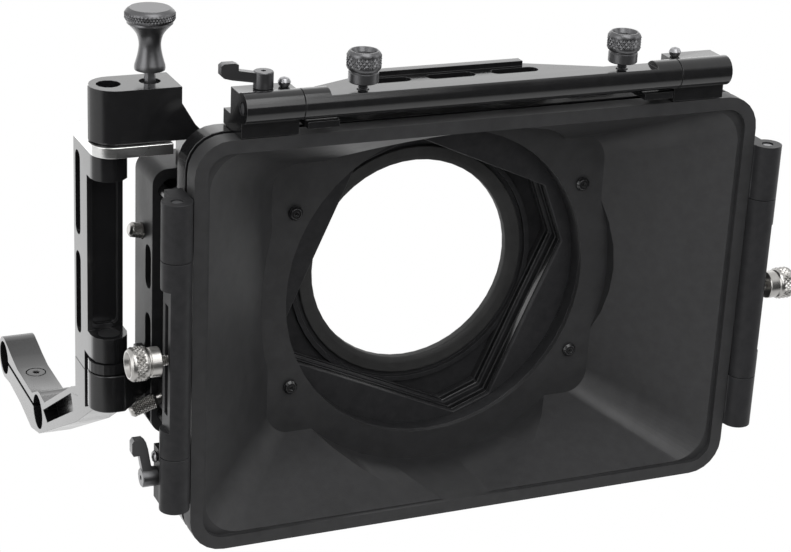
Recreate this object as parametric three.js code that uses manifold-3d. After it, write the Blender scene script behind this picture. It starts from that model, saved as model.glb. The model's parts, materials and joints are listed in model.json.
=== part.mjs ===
// A swing-away matte box for a pair of camera support rods.
// Millimetres, +Z up. The origin lies midway between the two rod bores, which run along X.
// The box is shown swung open, with its optical axis along Y and its hood facing -Y.

import * as THREE from 'three';
import { mergeVertices } from 'three/addons/utils/BufferGeometryUtils.js';
import Module from 'manifold-3d';

const wasm = await Module();
wasm.setup();

// Fits
const gap = 0.3;
const rodFit = 0.06;
const overrun = 2;
const deepOverrun = 4;
const lap = 1;
const fullTurn = Math.PI * 2;
const arcSteps = 3;
const cornerSteps = 5;
const slotSteps = 2;
const hexSides = 6;
const pinSides = 10;
const smallSides = 12;
const thumbSides = 16;
const midSides = 24;
const ringSides = 48;
const stepsPerTurn = 12;

// Rods and their clamp
const rodDiameter = 15;
const rodSpacing = 60;
const rodDrop = 85;
const boreDiameter = rodDiameter + rodFit;
const clampThickness = 14;
const clampWall = 2.2;
const clampSlit = 1.5;
const saddleHeight = 4.8;
// Shares of the run from the screw to the far bore and of the rise to its top
const saddleShares = [[0.8, 0.77], [0.53, 0.365], [0.2, 0]];
const jawDepth = 8.5;
const clampScrewDiameter = 5;
const clampHeadDiameter = 8.5;
const clampHeadHeight = 2.6;
const clampSocketRadius = 1.5;
const clampSocketDepth = 1.3;

// Slanted arm from the near bore up to the foot of the column
// The shares are of the run from the bore to the foot and of the shoulder's height
const armShoulder = 48.5;
const armTopShares = [[0.035, 0.215], [0.14, 0.196], [0.668, 0.742], [1, 1]];
const armEnd = 7.83;
const armEndShare = 0.96;
const armBottomShares = [[0.756, 0.48], [0.02, -0.198], [-0.15, -0.27], [-0.38, -0.2]];
const pocketShares = [[0.115, 0.105], [0.668, 0.68], [0.71, 0.55], [0.195, 0.045]];
const pocketDepth = 6;
const footFront = 8.8;
const footBottom = 46;

// Overall size of the hood and its frame, and the lens opening
const frameWidth = 230;
const frameHeight = 162;
const lensRadius = 43;
const donutWidth = 3.8;
const rearBorder = 7.7;
const rearOpeningRadius = lensRadius + donutWidth;
const rearHalfHeight = rearOpeningRadius + rearBorder;

// Lower arm's place on the rear frame's side
const lowerArmRise = 19.5;
const lowerArmHeight = 15;
const lowerArmBottom = lowerArmRise - rearHalfHeight;
const lowerArmTop = lowerArmBottom + lowerArmHeight;

// Hinge line: the box turns about it, one swing arm away from the optical axis
const rearInset = 0.5;
const rearHalfWidth = frameWidth / 2 - rearInset;
const hingeOffset = 19.5;
const swingArm = rearHalfWidth + hingeOffset;
const hingeX = -5.5;
const hingeSetback = 41.8;

// Column
const columnBase = 62;
const columnTop = 152;
const columnLeft = 7;
const columnRight = 6.7;
const webFront = 4.2;
const webBack = 22.2;
const webRecess = 1.6;
const webRecessBorder = 2;
const upperEarHeight = 10.2;
const lowerEarHeight = 9.8;
const groovePlace = 16.5;
const grooveWidth = 6.5;
const grooveDepth = 2.4;
const grooveLength = 33;
const grooveSplit = 7;
const hingePinDiameter = 8.4;
const upperPinInset = 6.7;
const washerHeight = 4;
const washerRadius = 7.8;
const hingePlay = 0.9;
const lowerEarBase = rodDrop + lowerArmTop + washerHeight + hingePlay;

// Index plate and its plunger
const plateThickness = 4.1;
const plateFront = 11.8;
const plateBack = 23;
const plateReach = 21;
const plateLeft = 8;
const plateCorner = 4;
const plungerRadius = 15.5;
const plungerDiameter = 4.2;
const plungerHole = 8;
const plungerCollar = 6.8;
const plungerCollarHeight = 3;
const plungerTravel = 2.5;
const plungerFloor = 2.4;
const bushHeight = 2;
const bushInset = 1.4;
const pinInKnob = 8;
const springWire = 1;
const springMeanDiameter = 6.1;
const springTurns = 4;
const knobLift = 4.1;
const knobHeight = 23.2;
const knobRadius = 9.3;
// Shares of the knob's radius and height, from the foot up
const knobShares = [[0, 0], [0.5, 0], [0.61, 0.03], [0.6, 0.09], [0.5, 0.23], [0.44, 0.36], [0.44, 0.46],
  [0.51, 0.57], [0.64, 0.65], [0.79, 0.715], [0.92, 0.76], [1, 0.81], [1, 0.95], [0.93, 1], [0, 1]];

// Arms of the box
const upperArmHeight = 20.2;
const upperArmFront = 9.8;
const upperArmBack = 9.2;
const upperArmReach = 24.7;
const armSlopeStart = 6.2;
const armKneeRun = 5.1;
const armKneeDrop = 14.6;
const armSlopeDrop = 25.9;
const heelInset = 21;
const heelWidth = 11;
const webInner = rearHalfWidth - heelInset;
const webOuter = webInner + heelWidth;
const heelFront = 45;
const heelBack = 54;
const lowerArmRadius = 8;
const lowerArmPlate = 3.7;
const lowerArmPlateBack = 62;
const lowerArmFront = 4;
const lowerArmBack = 7.5;

// Hood and its frame
const frameCorner = 13.5;
const flangeDepth = 8.3;
const flangeFace = 5;
const flangeStep = 2;
const neckInset = 2.5;
const frameFront = 10.9;
const frameBack = 19.7;
const frameClear = 1.2;
const frameInnerCorner = 3;
const hoodMouthSide = 6.5;
const hoodMouthRail = 5.5;
const hoodBack = 39;
const hoodBackThickness = 2;
const hoodWall = 2.4;
const hoodCorner = 14;
const roundRecessInset = 4.5;
const roundRecessRadius = frameHeight / 2 - roundRecessInset;
const roundRecessWall = 1.8;
const throatInset = 16.7;
const throatRadius = frameHeight / 2 - throatInset;
const hoodBackSide = 6.7;
const hoodBackRail = 8.3;
const hoodBackHalfWidth = throatRadius + hoodBackSide;
const hoodBackHalfHeight = throatRadius - hoodBackRail;
const hoodScrewSide = 2.7;
const hoodScrewRise = 28;
const hoodScrewX = throatRadius - hoodScrewSide;
const hoodScrewZ = throatRadius - hoodScrewRise;
const hoodScrewHead = 6;
const hoodScrewHeadHeight = 1.8;
const hoodScrewDiameter = 3;
const hoodScrewDome = 2.1;
const hoodScrewSocket = 1;

// Rear frame and lens ring
const donutLip = 2.5;
const donutNose = 5;
const donutFront = 64.8;
const donutBack = 72.3;
const rearCollarBorder = 4.2;
const rearCollarWall = 2;
const rearCollarInner = rearOpeningRadius + rearCollarBorder;
const rearCollarOuter = rearCollarInner + rearCollarWall;
const rearCollarFront = 64.3;
const rearCorner = 6;
const rearPlateFront = 66.3;
const rearPlateBack = 69.5;
const rearDiscInset = 12;
const rearDiscRadius = frameHeight / 2 - rearDiscInset;
const rearRimBack = 72.5;
const rearRimWidth = 4.5;
const rearWall = 4;
const sideWallFront = 50.5;
const returnInset = 21.5;
const wallSlotLength = 17.5;
const wallSlotWidth = 7;
const wallSlotPitch = 28;
const wallSlotSteps = [-1.5, -0.5, 0.5];
const wallSlotCentre = 55.6;

// Front plate, bridge and corner posts
const platePlane = 41.3;
const frontPlateThickness = 3;
const frontPlateInset = 3;
const frontPlateHalfWidth = frameWidth / 2 - frontPlateInset;
const frontPlateDrop = 4.5;
const frontPlateHalfHeight = rearHalfHeight - frontPlateDrop;
const frontCollarLength = 3.4;
const frontCollarWall = 1.9;
const bridgeHalfWidth = 37;
const bridgeInset = 0.5;
const bridgeHeight = 20.5;
const bridgeTop = frameHeight / 2 - bridgeInset;
const bridgeFoot = bridgeTop - bridgeHeight;
const postInset = 5;
const postDrop = 8.5;
const postX = frameWidth / 2 - postInset;
const postZ = rearHalfHeight - postDrop;
const postDiameter = 5;
const postEnd = 50.2;

// Filter stages
const stageTilt = 24;
const frontStage = 45.5;
const frontStageBack = 54.5;
const rearStage = 57.5;
const rearStageBack = 66;
const windowInset = 30.2;
const windowHalf = frameHeight / 2 - windowInset;
const upperChamfer = 19;
const lowerChamfer = 12;
const stageBorder = 7.16;
const stageRadius = Math.SQRT2 * windowHalf + stageBorder;
const stageRecessInset = 14.5;
const stageRecessRadius = frameHeight / 2 - stageRecessInset;
const frontStageRecess = 2.5;
const stageCollarInset = 3.6;
const stageCollarWall = 2.4;
const stageCollarOuter = stageRadius - stageCollarInset;
const stageCollarInner = stageCollarOuter - stageCollarWall;
const stageCollarLength = 3.9;
const traySlotFront = 50.2;
const rearTraySlotFront = 59.5;
const traySlot = 3.3;
const traySide = 2.7;
const trayFoot = 4.9;
const trayHead = 3.5;
const trayHalfWidth = windowHalf + traySide;
const trayBottom = -windowHalf - trayFoot;
const trayTop = windowHalf + trayHead;
const trayTabInset = 7;
const trayTabTop = stageRadius - trayTabInset;
const trayTabHalf = 9;
const notchHalf = 12;
const notchDepth = 11;
const notchFloor = stageRadius - notchDepth;
const rearRecessRadius = rearCollarOuter + gap;
const rearRecessDepth = 2.5;

// Stage lock screws
const lockDiameter = 4;
const lockHandle = 6;
const lockEdge = 0.75;
const frontLockDepth = 47.3;
const lockAbovePost = 9.65;
const frontLockHeight = lockAbovePost - postZ;
const frontLockReach = 19;
const frontLockNeck = 7.5;
const frontLockTip = frontPlateHalfWidth + frontLockReach;
const frontLockShoulder = frontPlateHalfWidth + frontLockNeck;
const rearLockDepth = 64;
const rearLockHeight = 24.67;
const rearLockReach = 8.2;
const rearLockSeat = 1.9;
const rearLockTip = rearHalfWidth + rearLockReach;
const rearLockShoulder = rearHalfWidth - rearLockSeat;
const lugLength = 8;
const lugInner = frontPlateHalfWidth - lugLength;
const lugHalfHeight = 5.5;
const frontLockAngle = Math.atan2(-2 * frontLockHeight, lugInner + frontPlateHalfWidth);
const lugBack = 50.2;
const bossLength = 8.3;
const bossInner = rearHalfWidth - bossLength;
const rearLockAngle = Math.atan2(-2 * rearLockHeight, bossInner + rearHalfWidth);
const bossHalfHeight = 5.5;
const bossFront = 60.5;

// Flag holders
const barrelRadius = 5.7;
const topBarrelLift = 11.4;
const topBarrelInset = 17;
const endBlockLength = 22;
const topBarrelHeight = frameHeight / 2 + topBarrelLift;
const topBarrelEnd = frameWidth / 2 - topBarrelInset;
const topBarrelHalf = topBarrelEnd - endBlockLength;
const sideBarrelOffset = 6.3;
const sideBarrelInset = 20.5;
const knuckleHeight = 22.2;
const sideBarrelEnd = frameHeight / 2 - sideBarrelInset;
const sideBarrelHalf = sideBarrelEnd - knuckleHeight;
const flatDepth = 2.2;
const flatHalf = 27.5;
const barrelGrooveWidth = 3.5;
const barrelGrooveDepth = 2.5;
const barrelGrooveHalf = 21.5;
const topFlatDepth = 2;
const topFlatInset = 10;
const topFlatHalf = topBarrelHalf - topFlatInset;
const flagPinDiameter = 4;
const flagPinReach = 16;
const blockDepth = 12;
const blockTop = 4.6;
const blockFootHeight = 6;
const blockFootTop = frameHeight / 2 + blockFootHeight;
const blockFootFront = 1;
const blockFootBack = 19.4;
const upperKnuckleDepth = 13;
const upperKnuckleThickness = 6.7;
const lowerKnuckleDepth = 12;
const knuckleThickness = 10.3;
const knuckleInner = frameWidth / 2 + gap;
const knuckleOuter = knuckleInner + knuckleThickness;
const flagPlateThickness = 2.6;
const flagPlateFront = -3;
const flagPlateBack = 47;
const flagPlateTaper = 33;
const flagPlateShoulder = 30;
const flagPlateOpen = 8;
const flagPlatePlay = 2;
const flagPlateHalf = topBarrelHalf - flagPlatePlay;
const flagPlateNeckWidth = 12;
const flagPlateNeck = flagPlateHalf - flagPlateNeckWidth;
const flagSlotLength = 20;
const flagSlotWidth = 6;
const flagSlotPitch = 27;
const flagSlotCorner = 2.85;
const flagRowPlace = 25;
const flagRowPitch = 13;
const flagRowSteps = [2, 1];
const flagBarHeight = 2;
const flagBarWidth = 4;

// Thumb screws and levers
const thumbRadius = 6.4;
const thumbKnurl = 7.2;
const thumbCollarRadius = 5.5;
const thumbCollar = 4.4;
const thumbThread = 2.8;
const thumbThreadRadius = 2;
const thumbDishRadius = 4.6;
const thumbDishFloor = 3.6;
const thumbDishDepth = 1.8;
const thumbDepth = 4.5;
const topThumbInset = 23.5;
const topThumbX = topBarrelHalf - topThumbInset;
const leverHubRadius = 3.7;
const leverHubHeight = 6.3;
const leverStemRadius = 2;
const leverStemDepth = 6;
const leverLength = 16.3;
const leverArmBase = 1.9;
const leverWidth = 3.4;
const leverHeight = 8.2;
const leverSocketRadius = 1;
const leverSocketDepth = 1.5;
// Shares of the lever's length and of its arm's height, from the hub out along the underside and back
const leverShares = [[0, 0], [0.75, 0.26], [0.93, 0.36], [1, 0.5], [1, 0.9], [0.93, 1], [0.68, 1],
  [0.6, 0.93], [0.6, 0.66], [0, 0.43]];
const leverDepthPlace = 7.6;
const leverFromSeam = 11.5;
const stopFromSeam = 3.6;
const stopRadius = 2.4;
const stopHeight = 3.6;
const sideStopHeight = 2.2;
const stopShankRadius = 1.2;
// Shares of the stop screw's head radius and height
const stopShares = [[0.8, 0.08], [1, 0.5], [0.7, 0.85], [0, 1]];

// Views: a profile is drawn in two axes and pushed along the third
const across = new THREE.Vector3(1, 0, 0);
const away = new THREE.Vector3(0, 1, 0);
const up = new THREE.Vector3(0, 0, 1);
const views = {
  front: { basis: new THREE.Matrix4().makeBasis(across, up, away.clone().negate()), push: away, flips: true },
  side: { basis: new THREE.Matrix4().makeBasis(away, up, across), push: across, flips: false },
  top: { basis: new THREE.Matrix4().makeBasis(across, away, up), push: up, flips: false },
};

function ordered(a, b) {
  return a < b ? [a, b] : [b, a];
}

// Solids
function solid(geometry) {
  geometry.deleteAttribute('normal');
  geometry.deleteAttribute('uv');
  const welded = mergeVertices(geometry);
  const vertProperties = new Float32Array(welded.attributes.position.array);
  const triVerts = new Uint32Array(welded.index.array);
  return new wasm.Manifold(new wasm.Mesh({ numProp: 3, vertProperties, triVerts }));
}

function geometryOf(body) {
  const mesh = body.getMesh();
  const geometry = new THREE.BufferGeometry();
  const corners = new Float32Array(mesh.vertProperties);
  geometry.setAttribute('position', new THREE.BufferAttribute(corners, mesh.numProp));
  geometry.setIndex(new THREE.BufferAttribute(new Uint32Array(mesh.triVerts), 1));
  geometry.computeVertexNormals();
  return geometry;
}

function join(...bodies) {
  return bodies.reduce((whole, body) => whole.add(body));
}

function cut(body, ...tools) {
  return tools.reduce((rest, tool) => rest.subtract(tool), body);
}

function common(...bodies) {
  return bodies.reduce((whole, body) => whole.intersect(body));
}

// A profile pushed from one place to another along the view's third axis
function prismGeometry(view, shape, from, to, curveSegments) {
  const { basis, push, flips } = views[view];
  const geometry = new THREE.ExtrudeGeometry(shape, { depth: to - from, bevelEnabled: false, curveSegments });
  geometry.applyMatrix4(basis);
  geometry.translate(...push.clone().multiplyScalar(flips ? to : from).toArray());
  return geometry;
}

function prism(view, shape, from, to, curveSegments = arcSteps) {
  return solid(prismGeometry(view, shape, from, to, curveSegments));
}

function disc(view, a, b, radius, from, to, sides = smallSides) {
  const outline = Array.from({ length: sides }, (_, i) => {
    const angle = (i / sides) * fullTurn;
    return [a + radius * Math.cos(angle), b + radius * Math.sin(angle)];
  });
  return prism(view, polygon(outline), from, to);
}

// A block given by its lowest and highest corners
function block(x0, x1, y0, y1, z0, z1) {
  const geometry = new THREE.BoxGeometry(x1 - x0, y1 - y0, z1 - z0);
  geometry.translate((x0 + x1) / 2, (y0 + y1) / 2, (z0 + z1) / 2);
  return solid(geometry);
}

// A turned piece: points are [radius, height], from the foot up, on the axis at both ends
function turned(points, sides = smallSides) {
  const profile = points.map(([radius, height]) => new THREE.Vector2(radius, height));
  const geometry = new THREE.LatheGeometry(profile, sides);
  geometry.rotateX(Math.PI / 2);
  return solid(geometry);
}

// Outlines
function polygon(points) {
  return new THREE.Shape(points.map(([a, b]) => new THREE.Vector2(a, b)));
}

function roundedRect(halfWidth, halfHeight, radius, a = 0, b = 0) {
  const shape = new THREE.Shape();
  const quarter = Math.PI / 2;
  const right = a + halfWidth - radius;
  const left = a - halfWidth + radius;
  const top = b + halfHeight - radius;
  const bottom = b - halfHeight + radius;
  shape.absarc(right, top, radius, 0, quarter);
  shape.absarc(left, top, radius, quarter, 2 * quarter);
  shape.absarc(left, bottom, radius, 2 * quarter, 3 * quarter);
  shape.absarc(right, bottom, radius, 3 * quarter, 4 * quarter);
  shape.closePath();
  return shape;
}

// Materials
const finishes = {
  anodised: { color: 0x1b1b1c, roughness: 0.38, metalness: 0.6 },
  plastic: { color: 0x242425, roughness: 0.6, metalness: 0 },
  gunmetal: { color: 0x4b4d4f, roughness: 0.35, metalness: 0.9 },
  stainless: { color: 0xc9c9c6, roughness: 0.28, metalness: 1 },
  bright: { color: 0xb4b3b0, roughness: 0.32, metalness: 1 },
  rubber: { color: 0x111111, roughness: 0.8, metalness: 0 },
  steel: { color: 0x77787a, roughness: 0.35, metalness: 1 },
};

function piece(parent, name, finish, body) {
  const mesh = new THREE.Mesh(geometryOf(body), new THREE.MeshStandardMaterial(finishes[finish]));
  mesh.name = name;
  parent.add(mesh);
  return mesh;
}

// Groups: the whole, the hinge line and the box on its optical axis
const matteBox = new THREE.Group();
const hinge = new THREE.Group();
hinge.position.set(hingeX, -swingArm, 0);
matteBox.add(hinge);
const box = new THREE.Group();
box.position.set(hingeX + swingArm, -swingArm - hingeSetback, rodDrop);
matteBox.add(box);

// Heights on the hinge line, and the same heights seen from the box
const lowerEarTop = lowerEarBase + lowerEarHeight;
const upperEarBase = columnTop - upperEarHeight;
const indexBase = columnTop + gap;
const indexTop = indexBase + plateThickness;
const upperArmBase = indexTop + gap;
const upperArmTop = upperArmBase + upperArmHeight;

// Rod clamp with the slanted arm and the foot under the column
function rodClamp() {
  const half = clampThickness / 2;
  const bore = boreDiameter / 2;
  const outer = bore + clampWall;
  const near = -rodSpacing / 2;
  const footBack = -swingArm + webBack + gap;
  const onArm = ([along, height]) => [near + along * (footBack - near), height * armShoulder];
  const outline = polygon([
    [-near, outer],
    ...saddleShares.map(([along, rise]) => [-along * near, saddleHeight + rise * (outer - saddleHeight)]),
    [near + outer, saddleHeight],
    [near, outer],
    ...armTopShares.map(onArm),
    [-swingArm + armEnd, armEndShare * armShoulder],
    ...armBottomShares.map(onArm),
    [-near - outer, -jawDepth],
    [-near, -outer],
  ]);
  const body = prism('side', outline, -half, half);
  const farEnd = disc('side', -near, 0, outer, -half, half, midSides);
  const foot = block(
    -columnLeft + hingeX, columnRight + hingeX,
    -swingArm + footFront, footBack,
    footBottom, columnBase - gap,
  );
  const bores = [near, -near].map((y) => disc('side', y, 0, bore, -half - overrun, half + overrun, midSides));
  const slit = block(-half - overrun, half + overrun, near, -near, -clampSlit / 2, clampSlit / 2);
  const pocket = prism('side', polygon(pocketShares.map(onArm)), -half - overrun, -half + pocketDepth);
  const screwHole = disc('top', 0, 0, clampScrewDiameter / 2 + gap, -rodDiameter, rodDiameter);
  const seatFloor = saddleHeight - clampHeadHeight;
  const headSeat = disc('top', 0, 0, clampHeadDiameter / 2 + gap, seatFloor, rodDiameter);
  return cut(join(body, farEnd, foot), ...bores, slit, pocket, screwHole, headSeat);
}

function clampScrew() {
  const shank = clampScrewDiameter / 2;
  const head = clampHeadDiameter / 2;
  const under = saddleHeight - clampHeadHeight + gap;
  const screw = turned([[0, -jawDepth], [shank, -jawDepth], [shank, under], [head, under],
    [head, saddleHeight], [0, saddleHeight]]);
  const socketFloor = saddleHeight - clampSocketDepth;
  return cut(screw, disc('top', 0, 0, clampSocketRadius, socketFloor, rodDiameter, hexSides));
}

// Column: a web behind the hinge line with an ear at each end reaching round the line
function earOutline() {
  const shape = new THREE.Shape();
  shape.moveTo(-columnLeft, webBack);
  shape.lineTo(-columnLeft, 0);
  shape.absarc(0, 0, columnLeft, Math.PI, fullTurn);
  shape.lineTo(columnRight, webBack);
  shape.closePath();
  return shape;
}

function hingeColumn() {
  const middle = (columnRight - columnLeft) / 2;
  const halfWidth = (columnRight + columnLeft) / 2;
  const web = block(-columnLeft, columnRight, webFront, webBack, lowerEarBase, columnTop);
  const feet = block(-columnLeft, columnRight, footFront, webBack, columnBase, lowerEarBase);
  const ears = [[lowerEarBase, lowerEarTop], [upperEarBase, columnTop]].map(
    ([from, to]) => prism('top', earOutline(), from, to),
  );
  const pin = hingePinDiameter / 2 + gap;
  const pinHoles = [
    disc('top', 0, 0, pin, lowerEarBase - overrun, lowerEarTop + overrun),
    disc('top', 0, 0, pin, upperEarBase - overrun, columnTop + overrun),
  ];
  const knuckleRoom = disc('top', 0, 0, lowerArmRadius + gap, columnBase - overrun, lowerEarBase, midSides);
  const faceHeight = (upperEarBase - lowerEarTop) / 2 - webRecessBorder;
  const faceMiddle = (upperEarBase + lowerEarTop) / 2;
  const faceWidth = halfWidth - webRecessBorder;
  const faceOutline = roundedRect(faceWidth, faceHeight, webRecessBorder, middle, faceMiddle);
  const face = prism('front', faceOutline, webFront - overrun, webFront + webRecess);
  const grooves = [-1, 1].map((side) => {
    const height = faceMiddle + side * (grooveLength + grooveSplit) / 2;
    const shape = roundedRect(grooveWidth / 2, grooveLength / 2, grooveWidth / 2 - gap, groovePlace, height);
    return prism('side', shape, -columnLeft - overrun, -columnLeft + grooveDepth);
  });
  return cut(join(cut(join(web, feet), knuckleRoom), ...ears), ...pinHoles, face, ...grooves);
}

// Index plate: bright plate under the upper arm, with a hole for the plunger every quarter turn
function indexPlate() {
  const shape = new THREE.Shape();
  shape.moveTo(-plateLeft, plateBack - plateCorner);
  shape.lineTo(-plateLeft, -plateFront + plateLeft);
  shape.absarc(0, -plateFront + plateLeft, plateLeft, Math.PI, 1.5 * Math.PI);
  shape.lineTo(plateReach, -plateFront);
  shape.lineTo(plateReach, plateFront - plateCorner);
  shape.lineTo(columnRight, plateBack);
  shape.lineTo(-plateLeft + plateCorner, plateBack);
  shape.closePath();
  const plate = prism('top', shape, indexBase, indexTop);
  const pinHole = disc('top', 0, 0, hingePinDiameter / 2 + gap, indexBase - overrun, indexTop + overrun);
  const indexHoles = [[plungerRadius, 0], [0, plungerRadius]].map(([x, y]) => (
    disc('top', x, y, plungerDiameter / 2 + gap, indexBase - overrun, indexTop + overrun, pinSides)));
  return cut(plate, pinHole, ...indexHoles);
}

// Hinge pins and washer
const lowerPinBase = rodDrop + lowerArmBottom + gap;
const upperPinTop = upperArmTop - upperPinInset;

function hingePin(from, to) {
  return disc('top', 0, 0, hingePinDiameter / 2, from, to);
}

function hingeWasher() {
  const top = lowerEarBase - gap;
  const base = top - washerHeight;
  const ring = disc('top', 0, 0, washerRadius, base, top, midSides);
  return cut(ring, disc('top', 0, 0, hingePinDiameter / 2 + gap, base - overrun, top + overrun));
}

piece(matteBox, 'rod_clamp', 'anodised', rodClamp());
piece(matteBox, 'clamp_screw', 'anodised', clampScrew());
piece(hinge, 'hinge_column', 'anodised', hingeColumn());
piece(hinge, 'index_plate', 'stainless', indexPlate());
piece(hinge, 'lower_hinge_pin', 'steel', hingePin(lowerPinBase, lowerEarTop));
piece(hinge, 'upper_hinge_pin', 'steel', hingePin(upperEarBase, upperPinTop));
piece(hinge, 'hinge_washer', 'anodised', hingeWasher());

// Upper arm: a block over the index plate, sloping down behind the hood to stand on the rear frame
function upperArm() {
  const base = upperArmBase - rodDrop;
  const top = upperArmTop - rodDrop;
  const right = -swingArm + upperArmReach;
  const knee = right + armKneeRun;
  const kneeTop = top - armKneeDrop;
  const slopeEnd = top - armSlopeDrop;
  const outline = new THREE.Shape();
  const left = -swingArm - plateLeft + gap;
  outline.moveTo(left + upperArmFront, hingeSetback + upperArmBack);
  outline.absarc(left + upperArmFront, hingeSetback, upperArmBack, Math.PI / 2, Math.PI);
  outline.absarc(left + upperArmFront, hingeSetback, upperArmFront, Math.PI, 1.5 * Math.PI);
  outline.lineTo(-webInner, hingeSetback - upperArmFront);
  outline.lineTo(-webInner, hingeSetback + upperArmBack);
  outline.closePath();
  const plan = prism('top', outline, rearHalfHeight, top);
  const side = prism('front', polygon([
    [left - overrun, base],
    [-webOuter, base],
    [-webOuter, rearHalfHeight + gap],
    [-webInner, rearHalfHeight + gap],
    [-webInner, slopeEnd],
    [knee, kneeTop],
    [right, top - armSlopeStart],
    [right, top],
    [left - overrun, top],
  ]), hingeSetback - upperArmFront - overrun, hingeSetback + upperArmBack + overrun);
  const heel = prism('front', polygon([
    [-webOuter, rearHalfHeight + gap],
    [-webInner, rearHalfHeight + gap],
    [-webInner, slopeEnd],
    [-webOuter, kneeTop],
  ]), heelFront, heelBack);
  const pinHole = disc('top', -swingArm, hingeSetback, hingePinDiameter / 2 + gap,
    base - overrun, top + overrun);
  const plungerX = -swingArm + plungerRadius;
  const guide = disc('top', plungerX, hingeSetback, plungerDiameter / 2 + gap, base - overrun, top, pinSides);
  const chamber = disc('top', plungerX, hingeSetback, plungerHole / 2, base + plungerFloor, top + overrun);
  return cut(join(common(plan, side), heel), pinHole, guide, chamber);
}

// Lower arm: a knuckle on the hinge line and a slanted bar back to a plate on the rear frame's side
function lowerArm() {
  const plateRight = -rearHalfWidth - gap;
  const front = hingeSetback - lowerArmRadius;
  const back = hingeSetback + lowerArmRadius;
  const knuckle = disc('top', -swingArm, hingeSetback, lowerArmRadius, lowerArmBottom, lowerArmTop, midSides);
  const bar = prism('top', polygon([
    [-swingArm, front],
    [-swingArm + lowerArmFront, front],
    [plateRight, sideWallFront],
    [plateRight, lowerArmPlateBack],
    [-swingArm + lowerArmBack, back],
    [-swingArm, back],
  ]), lowerArmBottom, lowerArmTop);
  const plate = block(plateRight - lowerArmPlate, plateRight, back + lap, lowerArmPlateBack,
    lowerArmBottom, lowerArmTop);
  const hole = disc('top', -swingArm, hingeSetback, hingePinDiameter / 2 + gap,
    lowerArmBottom - overrun, lowerArmTop + overrun);
  return cut(join(knuckle, bar, plate), hole);
}

// Index plunger: sprung pin in the upper arm, drawn with its tip lifted clear of the index plate
const chamberFloor = upperArmBase + plungerFloor;
const collarBase = chamberFloor + plungerTravel + gap;
const collarTop = collarBase + plungerCollarHeight;
const bushTop = upperArmTop - bushInset;
const bushBase = bushTop - bushHeight;
const knobBase = upperArmTop + knobLift;

function indexPlunger() {
  const pin = plungerDiameter / 2;
  const collar = plungerCollar / 2;
  const tip = knobBase + pinInKnob - gap;
  return turned([[0, upperArmBase], [pin, upperArmBase], [pin, collarBase], [collar, collarBase],
    [collar, collarTop], [pin, collarTop], [pin, tip], [0, tip]], pinSides);
}

function plungerKnob() {
  const profile = knobShares.map(([radius, height]) => [radius * knobRadius, height * knobHeight]);
  const knob = turned(profile, midSides);
  return cut(knob, disc('top', 0, 0, plungerDiameter / 2 + gap, -overrun, pinInKnob, pinSides));
}

function plungerBush() {
  const ring = disc('top', 0, 0, plungerHole / 2 - gap, bushBase, bushTop);
  const hole = plungerDiameter / 2 + gap;
  return cut(ring, disc('top', 0, 0, hole, bushBase - overrun, bushTop + overrun, pinSides));
}

class Helix extends THREE.Curve {
  constructor(radius, from, to, turns) {
    super();
    Object.assign(this, { radius, from, to, turns });
  }

  getPoint(t, target = new THREE.Vector3()) {
    const angle = t * this.turns * fullTurn;
    const height = this.from + t * (this.to - this.from);
    return target.set(this.radius * Math.cos(angle), this.radius * Math.sin(angle), height);
  }
}

function plungerSpring() {
  const wire = springWire / 2;
  const path = new Helix(springMeanDiameter / 2, collarTop + gap + wire, bushBase - gap - wire, springTurns);
  const section = polygon(Array.from({ length: hexSides }, (_, i) => {
    const angle = (i / hexSides) * fullTurn;
    return [wire * Math.cos(angle), wire * Math.sin(angle)];
  }));
  const steps = springTurns * stepsPerTurn;
  return solid(new THREE.ExtrudeGeometry(section, { steps, extrudePath: path, bevelEnabled: false }));
}

const plunger = new THREE.Group();
plunger.position.set(plungerRadius, 0, 0);
hinge.add(plunger);
piece(box, 'upper_arm', 'anodised', upperArm());
piece(box, 'lower_arm', 'anodised', lowerArm());
piece(plunger, 'index_plunger', 'steel', indexPlunger());
piece(plunger, 'plunger_knob', 'gunmetal', plungerKnob()).position.z = knobBase;
piece(plunger, 'plunger_bush', 'steel', plungerBush());
piece(plunger, 'plunger_spring', 'steel', plungerSpring());

// Hood: flange, four sloping walls and a flat back, with a round recess ahead of the throat
// The walls narrow evenly with depth, from the mouth to the flat back
function slopingBox(grow, from, to) {
  const [mouthX, mouthZ] = wallHalves(flangeStep, grow);
  const geometry = prismGeometry('front', roundedRect(mouthX, mouthZ, hoodCorner), from, to, cornerSteps);
  const { position } = geometry.attributes;
  for (let i = 0; i < position.count; i += 1) {
    const [halfX, halfZ] = wallHalves(position.getY(i), grow);
    position.setX(i, position.getX(i) * halfX / mouthX);
    position.setZ(i, position.getZ(i) * halfZ / mouthZ);
  }
  return solid(geometry);
}

// Half width and half height of the walls at one depth, grown sideways
function wallHalves(depth, grow) {
  const share = (depth - flangeStep) / (hoodBack - flangeStep);
  const mouth = [frameWidth / 2 - hoodMouthSide, frameHeight / 2 - hoodMouthRail];
  const backs = [hoodBackHalfWidth, hoodBackHalfHeight];
  return backs.map((back, i) => mouth[i] + share * (back - mouth[i]) + grow);
}

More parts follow.
